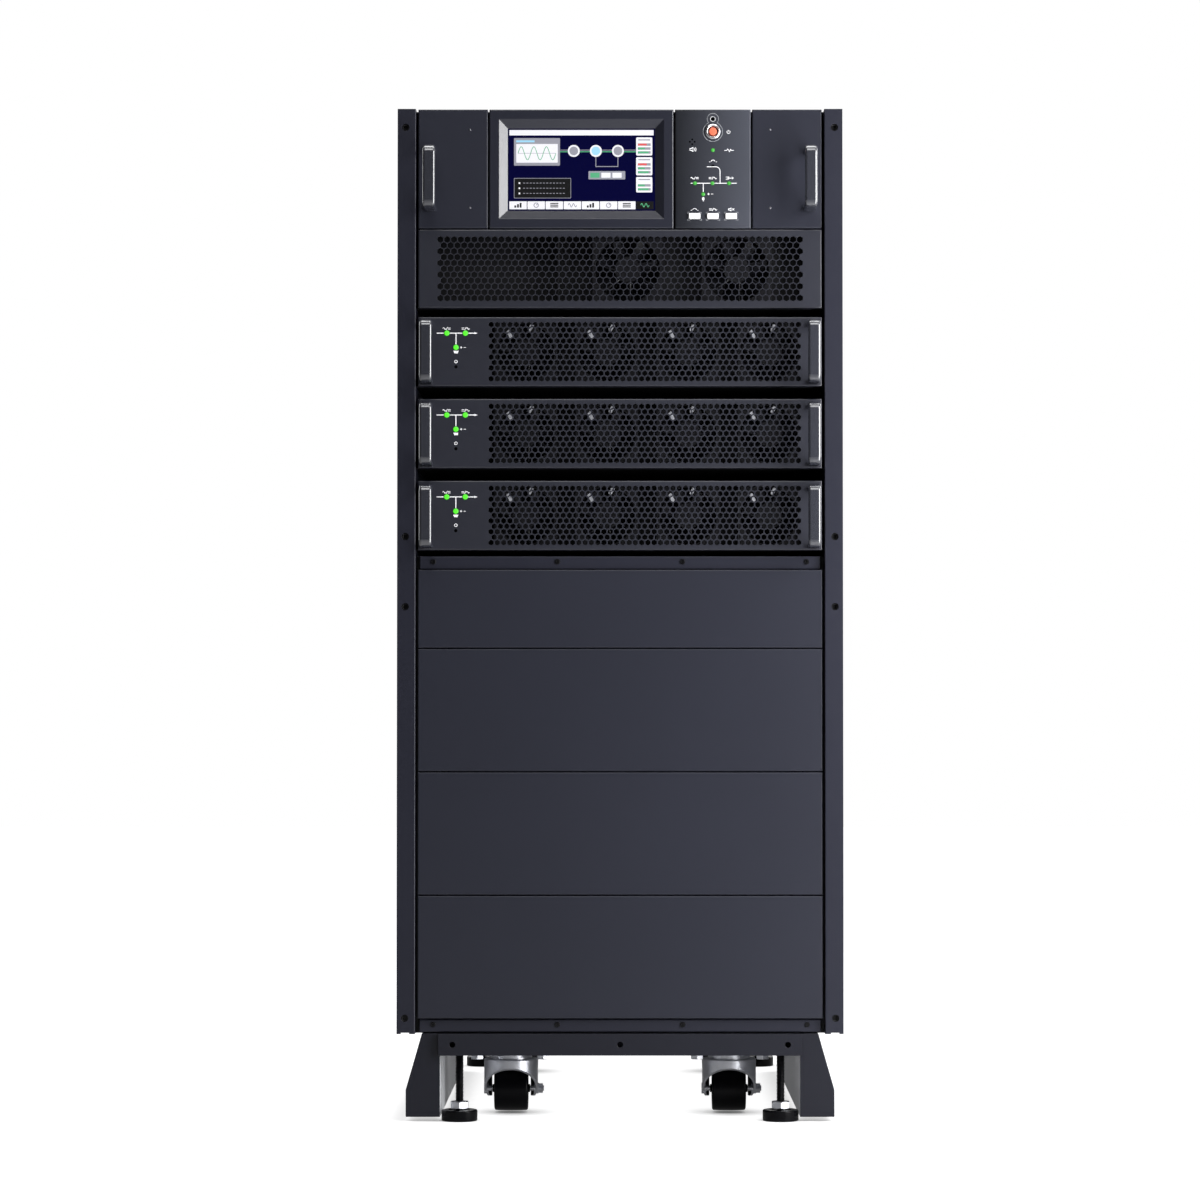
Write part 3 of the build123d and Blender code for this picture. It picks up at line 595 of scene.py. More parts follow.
def bowPart(low, high):
    # a rounded bar section carried along its bow: straight out, round a quarter circle, up, round and back
    width, thickness, radius = high.x - low.x, handle["thickness"], handle["bendRadius"]
    half = (high.z - low.z - thickness) / 2
    reachY, middleZ = low.y + thickness / 2, (low.z + high.z) / 2
    a = np.linspace(0, pi / 2, handle["bendSteps"] + 1)
    lowerY, lowerZ = reachY + radius * (1 - np.sin(a)), middleZ - half + radius * (1 - np.cos(a))
    y = np.concatenate([[high.y], lowerY, lowerY[::-1], [high.y]])
    z = np.concatenate([[middleZ - half], lowerZ, 2 * middleZ - lowerZ[::-1], [middleZ + half]])
    turn = np.concatenate([[0], a, pi - a[::-1], [pi]])
    outwardY, outwardZ = -np.sin(turn), -np.cos(turn)
    section = roundedOutline(width, thickness, handle["cornerRadius"], handle["cornerSteps"])
    across, out = section[:, 0][None, :], section[:, 1][None, :]
    x = (low.x + high.x) / 2 + across + 0 * y[:, None]
    pathY, pathZ = y[:, None] + out * outwardY[:, None], z[:, None] + out * outwardZ[:, None]
    return tubePart(asPoints(x, pathY, pathZ))


for nodeName in ["bypass_handles"] + [f"module_{n}_handles" for n in (1, 2, 3)]:
    low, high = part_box(nodeName)
    drop = handle["moduleDrop"] if nodeName.startswith("module") else 0
    right = bowPart(Vector((high.x - handle["barWidth"], low.y, low.z - drop)), high - Vector((0, 0, drop)))
    standIn(nodeName + "_smooth", nodeName, [right, mirrored(right)], handlePaint, 50)
print("stage: handles")


# Two painted glints on each module fan, seen through the vent: bright raised strips that glow, standing in
# for highlights on the fan blades
paintedGlint = {
    "length": 12.5 * mm,
    "width": 3.6 * mm,
    "roundShare": 0.45,
    "rise": 1.5 * mm,
    "depth": 9.0 * mm,
    "fans": 4,
    "places": ((-18.4, 21.3, -62.0), (6.1, 29.0, 60.0)),
}
for number in (1, 2, 3):
    low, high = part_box(f"module_{number}_fans")
    size, parts = high.z - low.z, []
    for middleX in np.linspace(low.x + size / 2, high.x - size / 2, paintedGlint["fans"]):
        for x, z, turn in paintedGlint["places"]:
            t = radians(turn)
            bar = roundedOutline(paintedGlint["length"], paintedGlint["width"], paintedGlint["width"] * paintedGlint["roundShare"])
            bar = bar @ np.array([(cos(t), sin(t)), (-sin(t), cos(t))])
            bar = bar + [middleX + x * mm, (low.z + high.z) / 2 + z * mm]
            parts.append(platePart(bar, low.y + paintedGlint["rise"], low.y + paintedGlint["depth"]))
    makePiece(f"module_{number}_fan_painted_glints", parts, glintPaintedPlastic, f"module_{number}")
print("stage: fan ribs")


# Screws, cage nuts and studs
fasteners = {
    "radius": 2.9 * mm,
    "height": 1.3 * mm,
    "ease": 0.45 * mm,
    "crossReach": 1.8 * mm,
    "crossHalf": 0.4 * mm,
    "crossDepth": 0.9 * mm,
    "trimX": (-202.3, -67.8, 67.8, 202.3),
    "trimRise": 8.2 * mm,
    "earInset": 8.75 * mm,
    "earStep": 444.5 * mm,
    "upperDrop": 20.1 * mm,
    "lowerDrop": 40.5 * mm,
    "earSheet": 1.5 * mm,
    "nutWidth": 11.0 * mm,
    "nutHeight": 13.0 * mm,
    "nutBore": 2.7 * mm,
    "nutDepth": 4.0 * mm,
    "studRadius": 1.2 * mm,
    "studHeight": 0.5 * mm,
    "studX": 162.8 * mm,
    "studZ": (1074.8, 989.6),
}


def crossScrew(radius, height, ease):
    # rings of 24 points at falling radius: the rim, its eased top, the outline of a cross and its floor
    reach, half = fasteners["crossReach"], fasteners["crossHalf"]
    quarter = np.array([(reach, -half), (reach, half), (half, half)])
    turns = [np.array([[0, 1], [-1, 0]]), np.array([[-1, 0], [0, -1]]), np.array([[0, -1], [1, 0]])]
    cross = np.concatenate([quarter] + [quarter @ turn for turn in turns])
    cross = np.stack([cross, (cross + np.roll(cross, -1, axis=0)) / 2], axis=1).reshape(-1, 2)
    a = np.radians(-15 + 15 * np.arange(24))
    circle = asPoints(np.cos(a), np.sin(a))
    rings = [(circle * radius, 0), (circle * radius, height - ease), (circle * (radius - ease), height)]
    rings += [(cross, height), (cross, height - fasteners["crossDepth"])]
    return tubePart(np.stack([np.insert(outline, 2, rise, axis=1) for outline, rise in rings]))


def cageNut():
    # a square body behind the ear, narrowed at its front face to a round bore that ends blind
    outline = roundedOutline(fasteners["nutWidth"], fasteners["nutHeight"], 1.5 * mm)
    a = np.arctan2(outline[:, 1], outline[:, 0])
    circle = asPoints(np.cos(a), np.sin(a)) * fasteners["nutBore"]
    depth = fasteners["nutDepth"]
    rings = [(outline, depth), (outline, 0), (circle * 1.2, 0)]
    rings += [(circle, 0.4 * mm), (circle, depth - 0.6 * mm)]
    return tubePart(np.stack([np.insert(shape, 1, y, axis=1) for shape, y in rings]))


screwHead = towardsFront(crossScrew(fasteners["radius"], fasteners["height"], fasteners["ease"]))
for nodeName in ("ups_lower_trim", "battery_lower_trim"):
    low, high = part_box(nodeName)
    places = [(x * mm, low.y, low.z + fasteners["trimRise"]) for x in fasteners["trimX"]]
    makePiece(nodeName + "_screws", atPlaces(screwHead, places), screwBlack, "cabinet")
for nodeName, drop in (("ups_side_walls", "upperDrop"), ("battery_side_walls", "lowerDrop")):
    low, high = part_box(nodeName)
    holes = [high.z - fasteners[drop], high.z - fasteners[drop] - fasteners["earStep"]]
    earX, backY = high.x - fasteners["earInset"], low.y + fasteners["earSheet"]
    places = [(side * earX, backY, z) for side in (-1, 1) for z in holes]
    makePiece(nodeName + "_cage_nuts", atPlaces(cageNut(), places), screwBlack, "cabinet")
low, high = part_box("blank_panels")
stud = towardsFront(domePart(fasteners["studRadius"], fasteners["studHeight"], 16, 4))
places = [(side * fasteners["studX"], low.y, z * mm) for side in (-1, 1) for z in fasteners["studZ"]]
makePiece("blank_panel_studs", atPlaces(stud, places), studMetal, "bypass_unit")
print("stage: fasteners")


# Round stop button and keys
button = {
    "capRadius": 4.3 * mm,
    "capEase": 0.9 * mm,
    "domeRise": 0.2 * mm,
    "domeHold": 0.05 * mm,
    "domeShare": 0.4,
    "flange": 1.2 * mm,
    "collarBore": 5.6 * mm,
    "crown": 0.8 * mm,
    "keyCorner": 1.0 * mm,
    "keyEase": 0.35 * mm,
}
low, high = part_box("epo_button")
(centreX, centreZ), depth = middleOf("epo_button"), high.y - low.y
capRadius, capEase, capFlange = button["capRadius"], button["capEase"], button["flange"]
s = np.linspace(0, pi / 2, 6)
# the flange, then the wall, then a quarter ellipse over the edge and a shallow dome to the middle
capProfile = np.concatenate([
    [(0, 0), (capRadius + capFlange, 0), (capRadius + capFlange, capFlange), (capRadius, capFlange)],
    asPoints(capRadius - capEase * (1 - np.cos(s)), depth - button["domeRise"] - capEase * (1 - np.sin(s))),
    [(capRadius * button["domeShare"], depth - button["domeHold"]), (0, depth)],
])
cap = moved(towardsFront(turnedPart(capProfile, 40)), (centreX, high.y, centreZ))
standIn("epo_button_smooth", "epo_button", [cap], buttonRed, 50)
for nodeName in ("bypass_key", "inverter_key", "mute_key"):
    low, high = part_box(nodeName)
    keyX, keyZ = middleOf(nodeName)
    width, height, corner = high.x - low.x, high.z - low.z, button["keyCorner"]
    face = roundedOutline(width - 2 * capFlange, height - 2 * capFlange, corner, 5)
    face = platePart(face, low.y, high.y, button["keyEase"])
    back = platePart(roundedOutline(width, height, corner), high.y - capFlange, high.y)
    standIn(nodeName + "_smooth", nodeName, [moved(p, (keyX, 0, keyZ)) for p in (face, back)], keyWhitePaintedGlow, 50)
low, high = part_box("epo_collar")
bore, collarRadius, collarHeight = button["collarBore"], (high.x - low.x) / 2, high.y - low.y
crown, crownRadius = button["crown"], bore + button["crown"]
s = np.linspace(0, pi / 2, 9)
# a rounded ring: a quarter ellipse from the outer foot up to the crown, then a small one down into the bore
collarProfile = np.concatenate([
    asPoints(crownRadius + (collarRadius - crownRadius) * np.cos(s), collarHeight * np.sin(s)),
    asPoints(bore + crown * (1 - np.sin(s[1:])), collarHeight - crown * (1 - np.cos(s[1:]))),
    [(bore, 0), (collarRadius, 0)],
])
centreX, centreZ = middleOf("epo_collar")
collar = moved(towardsFront(turnedPart(collarProfile, 64)), (centreX, high.y, centreZ))
standIn("epo_collar_smooth", "epo_collar", [collar], chrome, 50)
print("stage: buttons")


# Printed marks, all generic: waves, bars, plus and minus, rings and arrows
wave = asPoints(np.linspace(-1.7, 1.7, 13), 0.95 * np.sin(np.linspace(0, 2 * pi, 13)))
bars = [np.array([(-1.5, 0.7), (1.5, 0.7)]), np.array([(-1.5, -0.7), (1.5, -0.7)])]
slash = np.array([(-0.7, -1.6), (0.7, 1.6)])
symbols = {
    "waveToBars": [wave - [2.7, 0], slash, bars[0] + [2.6, 0], bars[1] + [2.6, 0]],
    "barsToWave": [bars[0] - [2.6, 0], bars[1] - [2.6, 0], slash, wave + [2.7, 0]],
    "cell": [[(-3.2, 0), (-0.8, 0)], [(-2.0, -1.2), (-2.0, 1.2)], [(0.8, 0), (3.2, 0)]],
    "ring": [arcLine(0, 0, 1.5, 0, 360, 20)],
    "power": [arcLine(0, 0, 1.7, 125, 415, 20), [(0, 0.3), (0, 2.2)]],
    "pulse": [[(-5.2, 0), (-2.4, 0), (-1.4, 1.5), (0.4, -1.5), (1.6, 1.1), (2.4, 0), (5.2, 0)]],
    "overpass": [
        arcLine(0, -0.9, 2.0, 10, 170, 12), [(-4.2, -0.9), (-2.9, -0.9)], [(2.9, -0.9), (4.2, -0.9)],
    ],
    "out": [
        [(-4.4, 1.2), (-1.2, 1.2), (-1.2, -1.2), (-4.4, -1.2)], [(-3.2, 0), (3.6, 0)],
        [(2.2, 1.2), (3.9, 0), (2.2, -1.2)],
    ],
    "hushed": [
        [(-3.0, 0.7), (-1.8, 0.7), (-0.2, 1.6), (-0.2, -1.6), (-1.8, -0.7), (-3.0, -0.7), (-3.0, 0.7)],
        [(1.2, 1.0), (3.2, -1.0)], [(1.2, -1.0), (3.2, 1.0)],
    ],
    "speaker": [
        [(-3.4, 0.9), (-2.0, 0.9), (0.0, 2.2), (0.0, -2.2), (-2.0, -0.9), (-3.4, -0.9), (-3.4, 0.9)],
        arcLine(0.2, 0, 1.6, -48, 48, 6), arcLine(0.2, 0, 3.0, -48, 48, 8),
    ],
}
mark = {
    "proud": 0.05 * mm,
    "sunk": 0.05 * mm,
    "holeProud": 0.02 * mm,
    "fine": 0.62 * mm,
    "line": 1.0 * mm,
    "panelLine": 0.75 * mm,
    "moduleLed": 2.9 * mm,
    "panelLed": 1.9 * mm,
    "ledHeight": 0.9 * mm,
}


def stroke(points, x, z, faceY, width):
    # points in millimetres about a place in metres
    line = np.asarray(points, float) * mm + [x, z]
    return inkPart(line, width, faceY - mark["proud"], faceY + mark["sunk"])


def symbol(name, x, z, faceY, width=None):
    return [stroke(line, x, z, faceY, width or mark["fine"]) for line in symbols[name]]


def ledParts(radius, spots, faceY):
    # a dome for each spot, and round it a low ring
    lens = towardsFront(domePart(radius, mark["ledHeight"], 24, 5))
    rim = np.array([(0.45, 0), (0.45, 0.2), (0.1, 0.35), (-0.1, 0.3)]) * mm + [radius, 0]
    ring = towardsFront(turnedPart(rim, 24))
    places = [(x, faceY, z) for x, z in spots]
    return atPlaces(lens, places) + atPlaces(ring, places), [0] * len(spots) + [1] * len(spots)


# a black disc just proud of the face: painted shade standing in for the dark inside of a small hole
def shadeDisc(x, z, radius, faceY):
    return platePart(discOutline(x, z, radius), faceY - mark["holeProud"], faceY + mark["sunk"])


# Marks and lamps of each module, measured from the top left of its front
legend = {
    "left": 31.2 * mm,
    "middle": 41.1 * mm,
    "right": 51.3 * mm,
    "upper": 17.6 * mm,
    "lower": 33.1 * mm,
    "plug": 38.0 * mm,
    "offMark": 48.4 * mm,
    "offHole": 54.2 * mm,
    "holeRadius": 1.8 * mm,
    "symbolRise": 5.0 * mm,
    "cellAside": 7.6 * mm,
}
for number in (1, 2, 3):
    low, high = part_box(f"module_{number}_front")
    leftX, middleX, rightX = low.x + legend["left"], low.x + legend["middle"], low.x + legend["right"]
    upperZ, lowerZ, faceY = high.z - legend["upper"], high.z - legend["lower"], low.y
    plugZ = high.z - legend["plug"]
    ink = [stroke([(-20.9, 0), (20.2, 0)], middleX, upperZ, faceY, mark["line"])]
    ink.append(stroke([(0, 0), (0, -12.6)], middleX, upperZ, faceY, mark["line"]))
    ink += symbol("waveToBars", leftX, upperZ + legend["symbolRise"], faceY)
    ink += symbol("barsToWave", rightX, upperZ + legend["symbolRise"], faceY)
    ink += symbol("cell", middleX + legend["cellAside"], lowerZ, faceY)
    ink += symbol("ring", middleX, high.z - legend["offMark"], faceY)
    arrow = np.array([(20.0, -1.2), (23.4, 0), (20.0, 1.2)]) * mm + [middleX, upperZ]
    plug = np.array([(-1.8, -1.6), (1.8, -1.6), (2.8, 1.2), (-2.8, 1.2)]) * mm + [middleX, plugZ]
    ink += [platePart(shape, faceY - mark["proud"], faceY + mark["sunk"]) for shape in (arrow, plug)]
    makePiece(f"module_{number}_marks", ink, inkWhitePaintedGlow, f"module_{number}")
    parts, tints = ledParts(mark["moduleLed"], [(leftX, upperZ), (rightX, upperZ), (middleX, lowerZ)], faceY)
    makePiece(f"module_{number}_lamps", parts, [ledGreen, ledRim], f"module_{number}", 40, tints)
    hole = shadeDisc(middleX, high.z - legend["offHole"], legend["holeRadius"], faceY)
    makePiece(f"module_{number}_pinhole", [hole], paintedHoleShade, f"module_{number}")


# Marks and lamps of the control panel, measured from the stop button's middle
(stopX, stopZ), faceY = middleOf("epo_collar"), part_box("control_panel")[0].y
guard = {
    "radius": 10.6,
    "lobe": 6.2,
    "rise": 13.7,
    "bracketShare": 0.16,
    "symbolRise": 7.4 * mm,
    "lineWidth": 0.4 * mm,
}


def onPanel(points, width=None):
    return stroke(points, stopX, stopZ, faceY, width or mark["panelLine"])


# the guard's outline is two circles joined where they cross, each angle from the law of cosines
rise, radius, lobe = guard["rise"], guard["radius"], guard["lobe"]
atRing = np.degrees(np.arccos((rise**2 + radius**2 - lobe**2) / (2 * rise * radius)))
atLobe = np.degrees(np.arccos((rise**2 + lobe**2 - radius**2) / (2 * rise * lobe)))
ringArc = arcLine(0, 0, radius, 90 + atRing, 450 - atRing, 40)
lobeArc = arcLine(0, rise, lobe, atLobe - 90, 270 - atLobe, 24)
outline = np.concatenate([ringArc, lobeArc[1:-1], ringArc[:1]])
greyInk = [onPanel(outline, guard["lineWidth"])]
keyRoom = np.array([(-7.4, -4.3), (7.4, -4.3), (7.4, 4.3), (-7.4, 4.3)])
corners = [(3, 0, 1), (0, 1, 2), (1, 2, 3), (2, 3, 0)]
for nodeName in ("bypass_key", "inverter_key", "mute_key"):
    keyX, keyZ = middleOf(nodeName)
    for before, at, after in corners:
        point, share = keyRoom[at], guard["bracketShare"]
        ends = [point + (keyRoom[other] - point) * share for other in (before, after)]
        greyInk.append(stroke([ends[0], point, ends[1]], keyX, keyZ, faceY, guard["lineWidth"]))
makePiece("control_outlines", greyInk, inkGrey, "bypass_unit")
whiteInk = [
    onPanel([(-24.0, -56.2), (25.8, -56.2)]),
    onPanel([(-6.6, -38.3), (3.1, -38.3), *arcLine(3.1, -43.0, 4.7, 80, 0, 8), (7.8, -56.2)]),
    onPanel([(-10.5, -56.2), (-10.5, -65.6)]),
    onPanel([(-10.5, -71.0), (-10.5, -76.0)]),
    onPanel(arcLine(0, rise, 2.7, 0, 360, 20), guard["lineWidth"]),
]
for name, x, z in (
    ("power", 17.0, -0.3), ("speaker", -21.6, -19.4), ("pulse", 17.6, -20.4), ("overpass", 0.2, -32.0),
    ("waveToBars", -19.6, -50.6), ("barsToWave", -0.4, -50.6), ("out", 18.4, -50.6), ("cell", -2.8, -67.9),
):
    whiteInk += symbol(name, stopX + x * mm, stopZ + z * mm, faceY)
for name, nodeName in (("overpass", "bypass_key"), ("barsToWave", "inverter_key"), ("hushed", "mute_key")):
    keyX, keyZ = middleOf(nodeName)
    whiteInk += symbol(name, keyX, keyZ + guard["symbolRise"], faceY)
plug = np.array([(-1.3, -1.1), (1.3, -1.1), (1.3, 1.4), (-1.3, 1.4)]) * mm
plug = plug + [stopX - 10.5 * mm, stopZ - 73.2 * mm]
whiteInk.append(platePart(plug, faceY - mark["proud"], faceY + mark["sunk"]))
makePiece("control_marks", whiteInk, inkWhitePaintedGlow, "bypass_unit")
spots = [(0.0, -20.2), (-19.4, -56.2), (-0.4, -56.2), (17.6, -56.2), (-10.5, -68.2)]
spots = [(stopX + x * mm, stopZ + z * mm) for x, z in spots]
parts, tints = ledParts(mark["panelLed"], spots, faceY)
makePiece("control_lamps", parts, [ledDim, ledRim], "bypass_unit", 40, tints)
# the control panel's small holes, drawn the same way as discs of painted shade
holes = [(0.0, -37.6, 1.9), (0.0, guard["rise"], 2.1)]
holes += [(-22.4 + dx, -11.1 + dz, 1.0) for dx, dz in ((0, 2.6), (2.6, 0), (0, -2.6), (-2.6, 0))]
parts = [shadeDisc(stopX + x * mm, stopZ + z * mm, r * mm, faceY) for x, z, r in holes]
makePiece("control_holes", parts, paintedHoleShade, "bypass_unit")
print("stage: marks and lamps")


# Picture on the screen, in millimetres from its lower left corner
screen = {
    "inset": 1.4 * mm,
    "tileProud": 0.10 * mm,
    "inkProud": 0.18 * mm,
    "sunk": 0.02 * mm,
    "tileLayer": 0.05 * mm,
    "inkLayer": 0.03 * mm,
    "gap": 0.8,
    "topBar": 5.8,
    "keyHeight": 8.6,
    "sideWidth": 19.0,
}
low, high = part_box("display_glass")
originX, originZ = low.x + screen["inset"], low.z + screen["inset"]
screenWidth = (high.x - low.x) / mm - 2 * screen["inset"] / mm
screenHeight = (high.z - low.z) / mm - 2 * screen["inset"] / mm
palette = [litWhite, litGrey, litGreen, litRed, litBlue, litBlack]
white, grey, green, red, blue, black = range(6)
picture, pictureTints = [], []


def tile(x, z, width, height, tint, corner=0.0, layer=0):
    # a thin plate with its lower left corner at x and z, in front of the layers below it
    middle = np.array([originX + (x + width / 2) * mm, originZ + (z + height / 2) * mm])
    shape = roundedOutline(width * mm, height * mm, max(corner, 0.05) * mm, 3) + middle
    proud = screen["tileProud"] + layer * screen["tileLayer"]
    picture.append(platePart(shape, low.y - proud, low.y + screen["sunk"]))
    pictureTints.append(tint)


def pen(points, tint, width=0.7, layer=2):
    line = np.asarray(points, float) * mm + [originX, originZ]
    proud = screen["inkProud"] + layer * screen["inkLayer"]
    picture.append(inkPart(line, width * mm, low.y - proud, low.y + screen["sunk"]))
    pictureTints.append(tint)


def disc(x, z, diameter, proud, tint):
    shape = roundedOutline(diameter * mm, diameter * mm, (diameter / 2 - 0.1) * mm, 8)
    shape = shape + [originX + x * mm, originZ + z * mm]
    picture.append(platePart(shape, low.y - proud * mm, low.y + screen["sunk"]))
    pictureTints.append(tint)


gap, topRoom = screen["gap"], screenHeight - screen["topBar"]
tile(0, topRoom, screenWidth, screen["topBar"], white)
tileWidth = (screenWidth - 7 * gap) / 8
for n in range(8):
    tile(n * (tileWidth + gap), 0, tileWidth, screen["keyHeight"], black if n == 7 else white, 0.4)
iconX = [(n + 0.5) * tileWidth + n * gap for n in range(8)]
for n, (x, tint) in enumerate(zip(iconX, (black, grey, black, grey, black, grey, black, green))):
    if n % 4 == 0:
        for bar, rise in enumerate((2.4, 3.8, 5.2)):
            tile(x - 4 + bar * 2.9, 1.8, 2.0, rise, tint, 0.2, 1)
    elif n % 4 == 1:
        pen(arcLine(x, 4.4, 2.4, 0, 360, 20), tint, 0.9)
        pen([(x, 4.4), (x + 1.4, 5.9)], tint, 0.8)
    elif n % 4 == 2:
        for row in range(3):
            tile(x - 4.4, 2.0 + row * 1.9, 8.8, 1.1, tint, 0.1, 1)
    else:
        rise = 1.9 * np.sin(np.linspace(0, 4 * pi, 21))
        pen(asPoints(x + np.linspace(-4.6, 4.6, 21), 4.4 + rise), tint, 0.8)
for n in range(3):
    # three meter tiles down the right side, each with level bars
    tileZ = topRoom - 2.0 - (n + 1) * 21.6 + 1.6 + (0 if n < 2 else 3.0)
    tileRise = 19.8 if n < 2 else 16.8
    tile(screenWidth - screen["sideWidth"], tileZ, 17.6, tileRise, white, 1.2)
    tile(screenWidth - 16.6, tileZ + tileRise - 3.4, 12.8, 1.3, grey, 0.3, 1)
    for bar, (share, tint) in enumerate(((0.85, green), (0.55, green), (0.7, red))[: 3 if n < 2 else 2]):
        barZ = tileZ + 2.0 + bar * 4.3
        tile(screenWidth - 17.2, barZ, 14.0, 2.7, grey, 0.4, 1)
        tile(screenWidth - 17.0, barZ + 0.3, 13.6 * share, 2.1, tint, 0.3, 2)
# a grey panel with its graph, three round stages in a row and a dark box of dotted lines
panelX, panelZ = 5.0, topRoom - 33.0
tile(panelX, panelZ, 50.0, 30.0, grey, 0.8)
tile(panelX + 2.4, panelZ + 3.2, 45.2, 20.4, white, 0.6, 1)
tile(panelX + 2.4, panelZ + 25.4, 20.0, 2.2, blue, 0.3, 1)
graphX = np.linspace(panelX + 4.4, panelX + 45.6, 49)
graphWave = 7.2 * np.sin(np.linspace(0, 6 * pi, 49))
pen(asPoints(graphX, panelZ + 13.4 + graphWave), green, 0.7, 3)
pen([(panelX + 4.4, panelZ + 13.4), (panelX + 45.6, panelZ + 13.4)], grey, 0.4, 3)
stageX, stageZ = (70.0, 94.0, 118.0), topRoom - 17.0
for x, tint in zip(stageX, (grey, blue, grey)):
    disc(x, stageZ, 13.0, 0.2, white)
    disc(x, stageZ, 9.4, 0.26, tint)
sideX = screenWidth - screen["sideWidth"]
for startX, endX in ((panelX + 50.0, 63.5), (76.5, 87.5), (100.5, 111.5), (124.5, sideX)):
    pen([(startX, stageZ + 0.9), (endX, stageZ + 0.9)], grey, 0.7)
    pen([(startX, stageZ - 0.9), (endX, stageZ - 0.9)], green, 0.9)
pen([(94.0, stageZ - 6.5), (94.0, stageZ - 17.0), (118.0, stageZ - 17.0), (118.0, stageZ - 6.5)], grey, 0.8)
tile(86.0, stageZ - 31.0, 40.0, 9.0, grey, 0.8)
for x, tint in ((88.0, green), (100.0, white), (112.0, white)):
    tile(x, stageZ - 29.2, 10.0, 5.4, tint, 0.4, 1)
tile(5.0, 12.0, 62.0, 22.0, grey, 0.8)
tile(5.5, 12.5, 61.0, 21.0, black, 0.6, 1)
for row in range(3):
    tile(10.0, 16.4 + row * 5.6, 1.8, 1.8, white, 0.3, 2)
    for dot in range(13):
        tile(15.0 + dot * 3.6, 17.0 + row * 5.6, 2.0, 0.7, grey, 0.1, 2)
makePiece("display_picture", picture, palette, "bypass_unit", 40, pictureTints)
print("stage: screen")


# Levelling feet: a turned pad, a threaded rod and a chamfered nut
foot = {
    "padRadius": 19.5 * mm,
    "padHeight": 12.0 * mm,
    "padRound": 1.5 * mm,
    "rodRadius": 4.5 * mm,
    "pitch": 1.5 * mm,
    "threadDepth": 0.8 * mm,
    "stepsPerTurn": 6,
    "nutFlats": 18.5 * mm,
    "nutLow": 13.2 * mm,
    "nutHeight": 7.8 * mm,
    "chamfer": 0.55,
    "chamferLift": 0.15 * mm,
    "circleShare": 0.985,
    "groove": 0.6 * mm,
}


def hexRadius(t, flats):
    # the distance from the middle to a hexagon's side at angle t, with corners to the front and back
    turned = np.mod(t - pi / 6, pi / 3) - pi / 6
    return flats / 2 / np.cos(turned)


def nutPart(flats, lowZ, height, bore, segments=48):
    # the hexagon's wall rises from its inscribed circle by a fixed slope, so its corners are cut back
    t = np.linspace(0, 2 * pi, segments, endpoint=False)
    wall, inner = hexRadius(t, flats), np.full(segments, bore)
    circle = np.full(segments, flats / 2 * foot["circleShare"])
    cut = (wall - flats / 2) * foot["chamfer"] + foot["chamferLift"]
    floorZ, roofZ = lowZ + 0 * t, lowZ + height + 0 * t
    rings = [(inner, floorZ), (circle, floorZ), (wall, floorZ + cut), (wall, roofZ - cut)]
    rings += [(circle, roofZ), (inner, roofZ), (inner, floorZ)]
    points = np.stack([asPoints(r * np.cos(t), r * np.sin(t), z) for r, z in rings])
    return gridPart(points, False, True)


def threadPart(radius, lowZ, highZ, pitch, depth, segments=18):
    # the radius falls by the thread's depth once a pitch, and the fall climbs a pitch each turn
    t = np.linspace(0, 2 * pi, segments, endpoint=False)[None, :]
    z = np.linspace(lowZ, highZ, int((highZ - lowZ) / pitch * foot["stepsPerTurn"]) + 1)[:, None]
    r = radius - depth / 2 * (1 - np.cos(2 * pi * z / pitch - t))
    return tubePart(asPoints(r * np.cos(t), r * np.sin(t), z + 0 * t))


s = np.linspace(0, pi / 2, 5)
padRound, padRadius, padHeight = foot["padRound"], foot["padRadius"], foot["padHeight"]
low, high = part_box("levelling_feet")
grooveZ = padHeight - foot["groove"]
padProfile = np.concatenate([
    [(0, 0)],
    asPoints(padRadius - padRound * (1 - np.sin(s)), padRound * (1 - np.cos(s))),
    asPoints(padRadius - padRound * (1 - np.cos(s)), padHeight - padRound * (1 - np.sin(s))),
    [(padRadius * 0.62, padHeight), (padRadius * 0.58, grooveZ), (padRadius * 0.34, grooveZ)],
    [(padRadius * 0.3, padHeight), (0, padHeight)],
])
pad = turnedPart(padProfile, 64)
rod = threadPart(foot["rodRadius"], padHeight - mm, high.z, foot["pitch"], foot["threadDepth"])
nut = nutPart(foot["nutFlats"], foot["nutLow"], foot["nutHeight"], foot["rodRadius"] - mm)
rowsX, rowsY = (low.x + padRadius, high.x - padRadius), (low.y + padRadius, high.y - padRadius)
places = [(x, y, 0) for x in rowsX for y in rowsY]
parts = atPlaces(pad, places) + atPlaces(rod, places) + atPlaces(nut, places)
tints = [0] * 4 + [1] * 4 + [2] * 4
standIn("levelling_feet_smooth", "levelling_feet", parts, [footBlack, rodBlack, zincPlate], 40, tints)
print("stage: levelling feet")


# Caster wheels
wheel = {
    "width": 37.2 * mm,
    "round": 2.4 * mm,
    "crown": 0.35 * mm,
    "dish": 3.0 * mm,
    "rim": 6.0 * mm,
    "dishCorner": 0.6 * mm,
    "rimCorner": 0.3 * mm,
    "bushRadius": 4.5 * mm,
    "bore": 3.08 * mm,
}


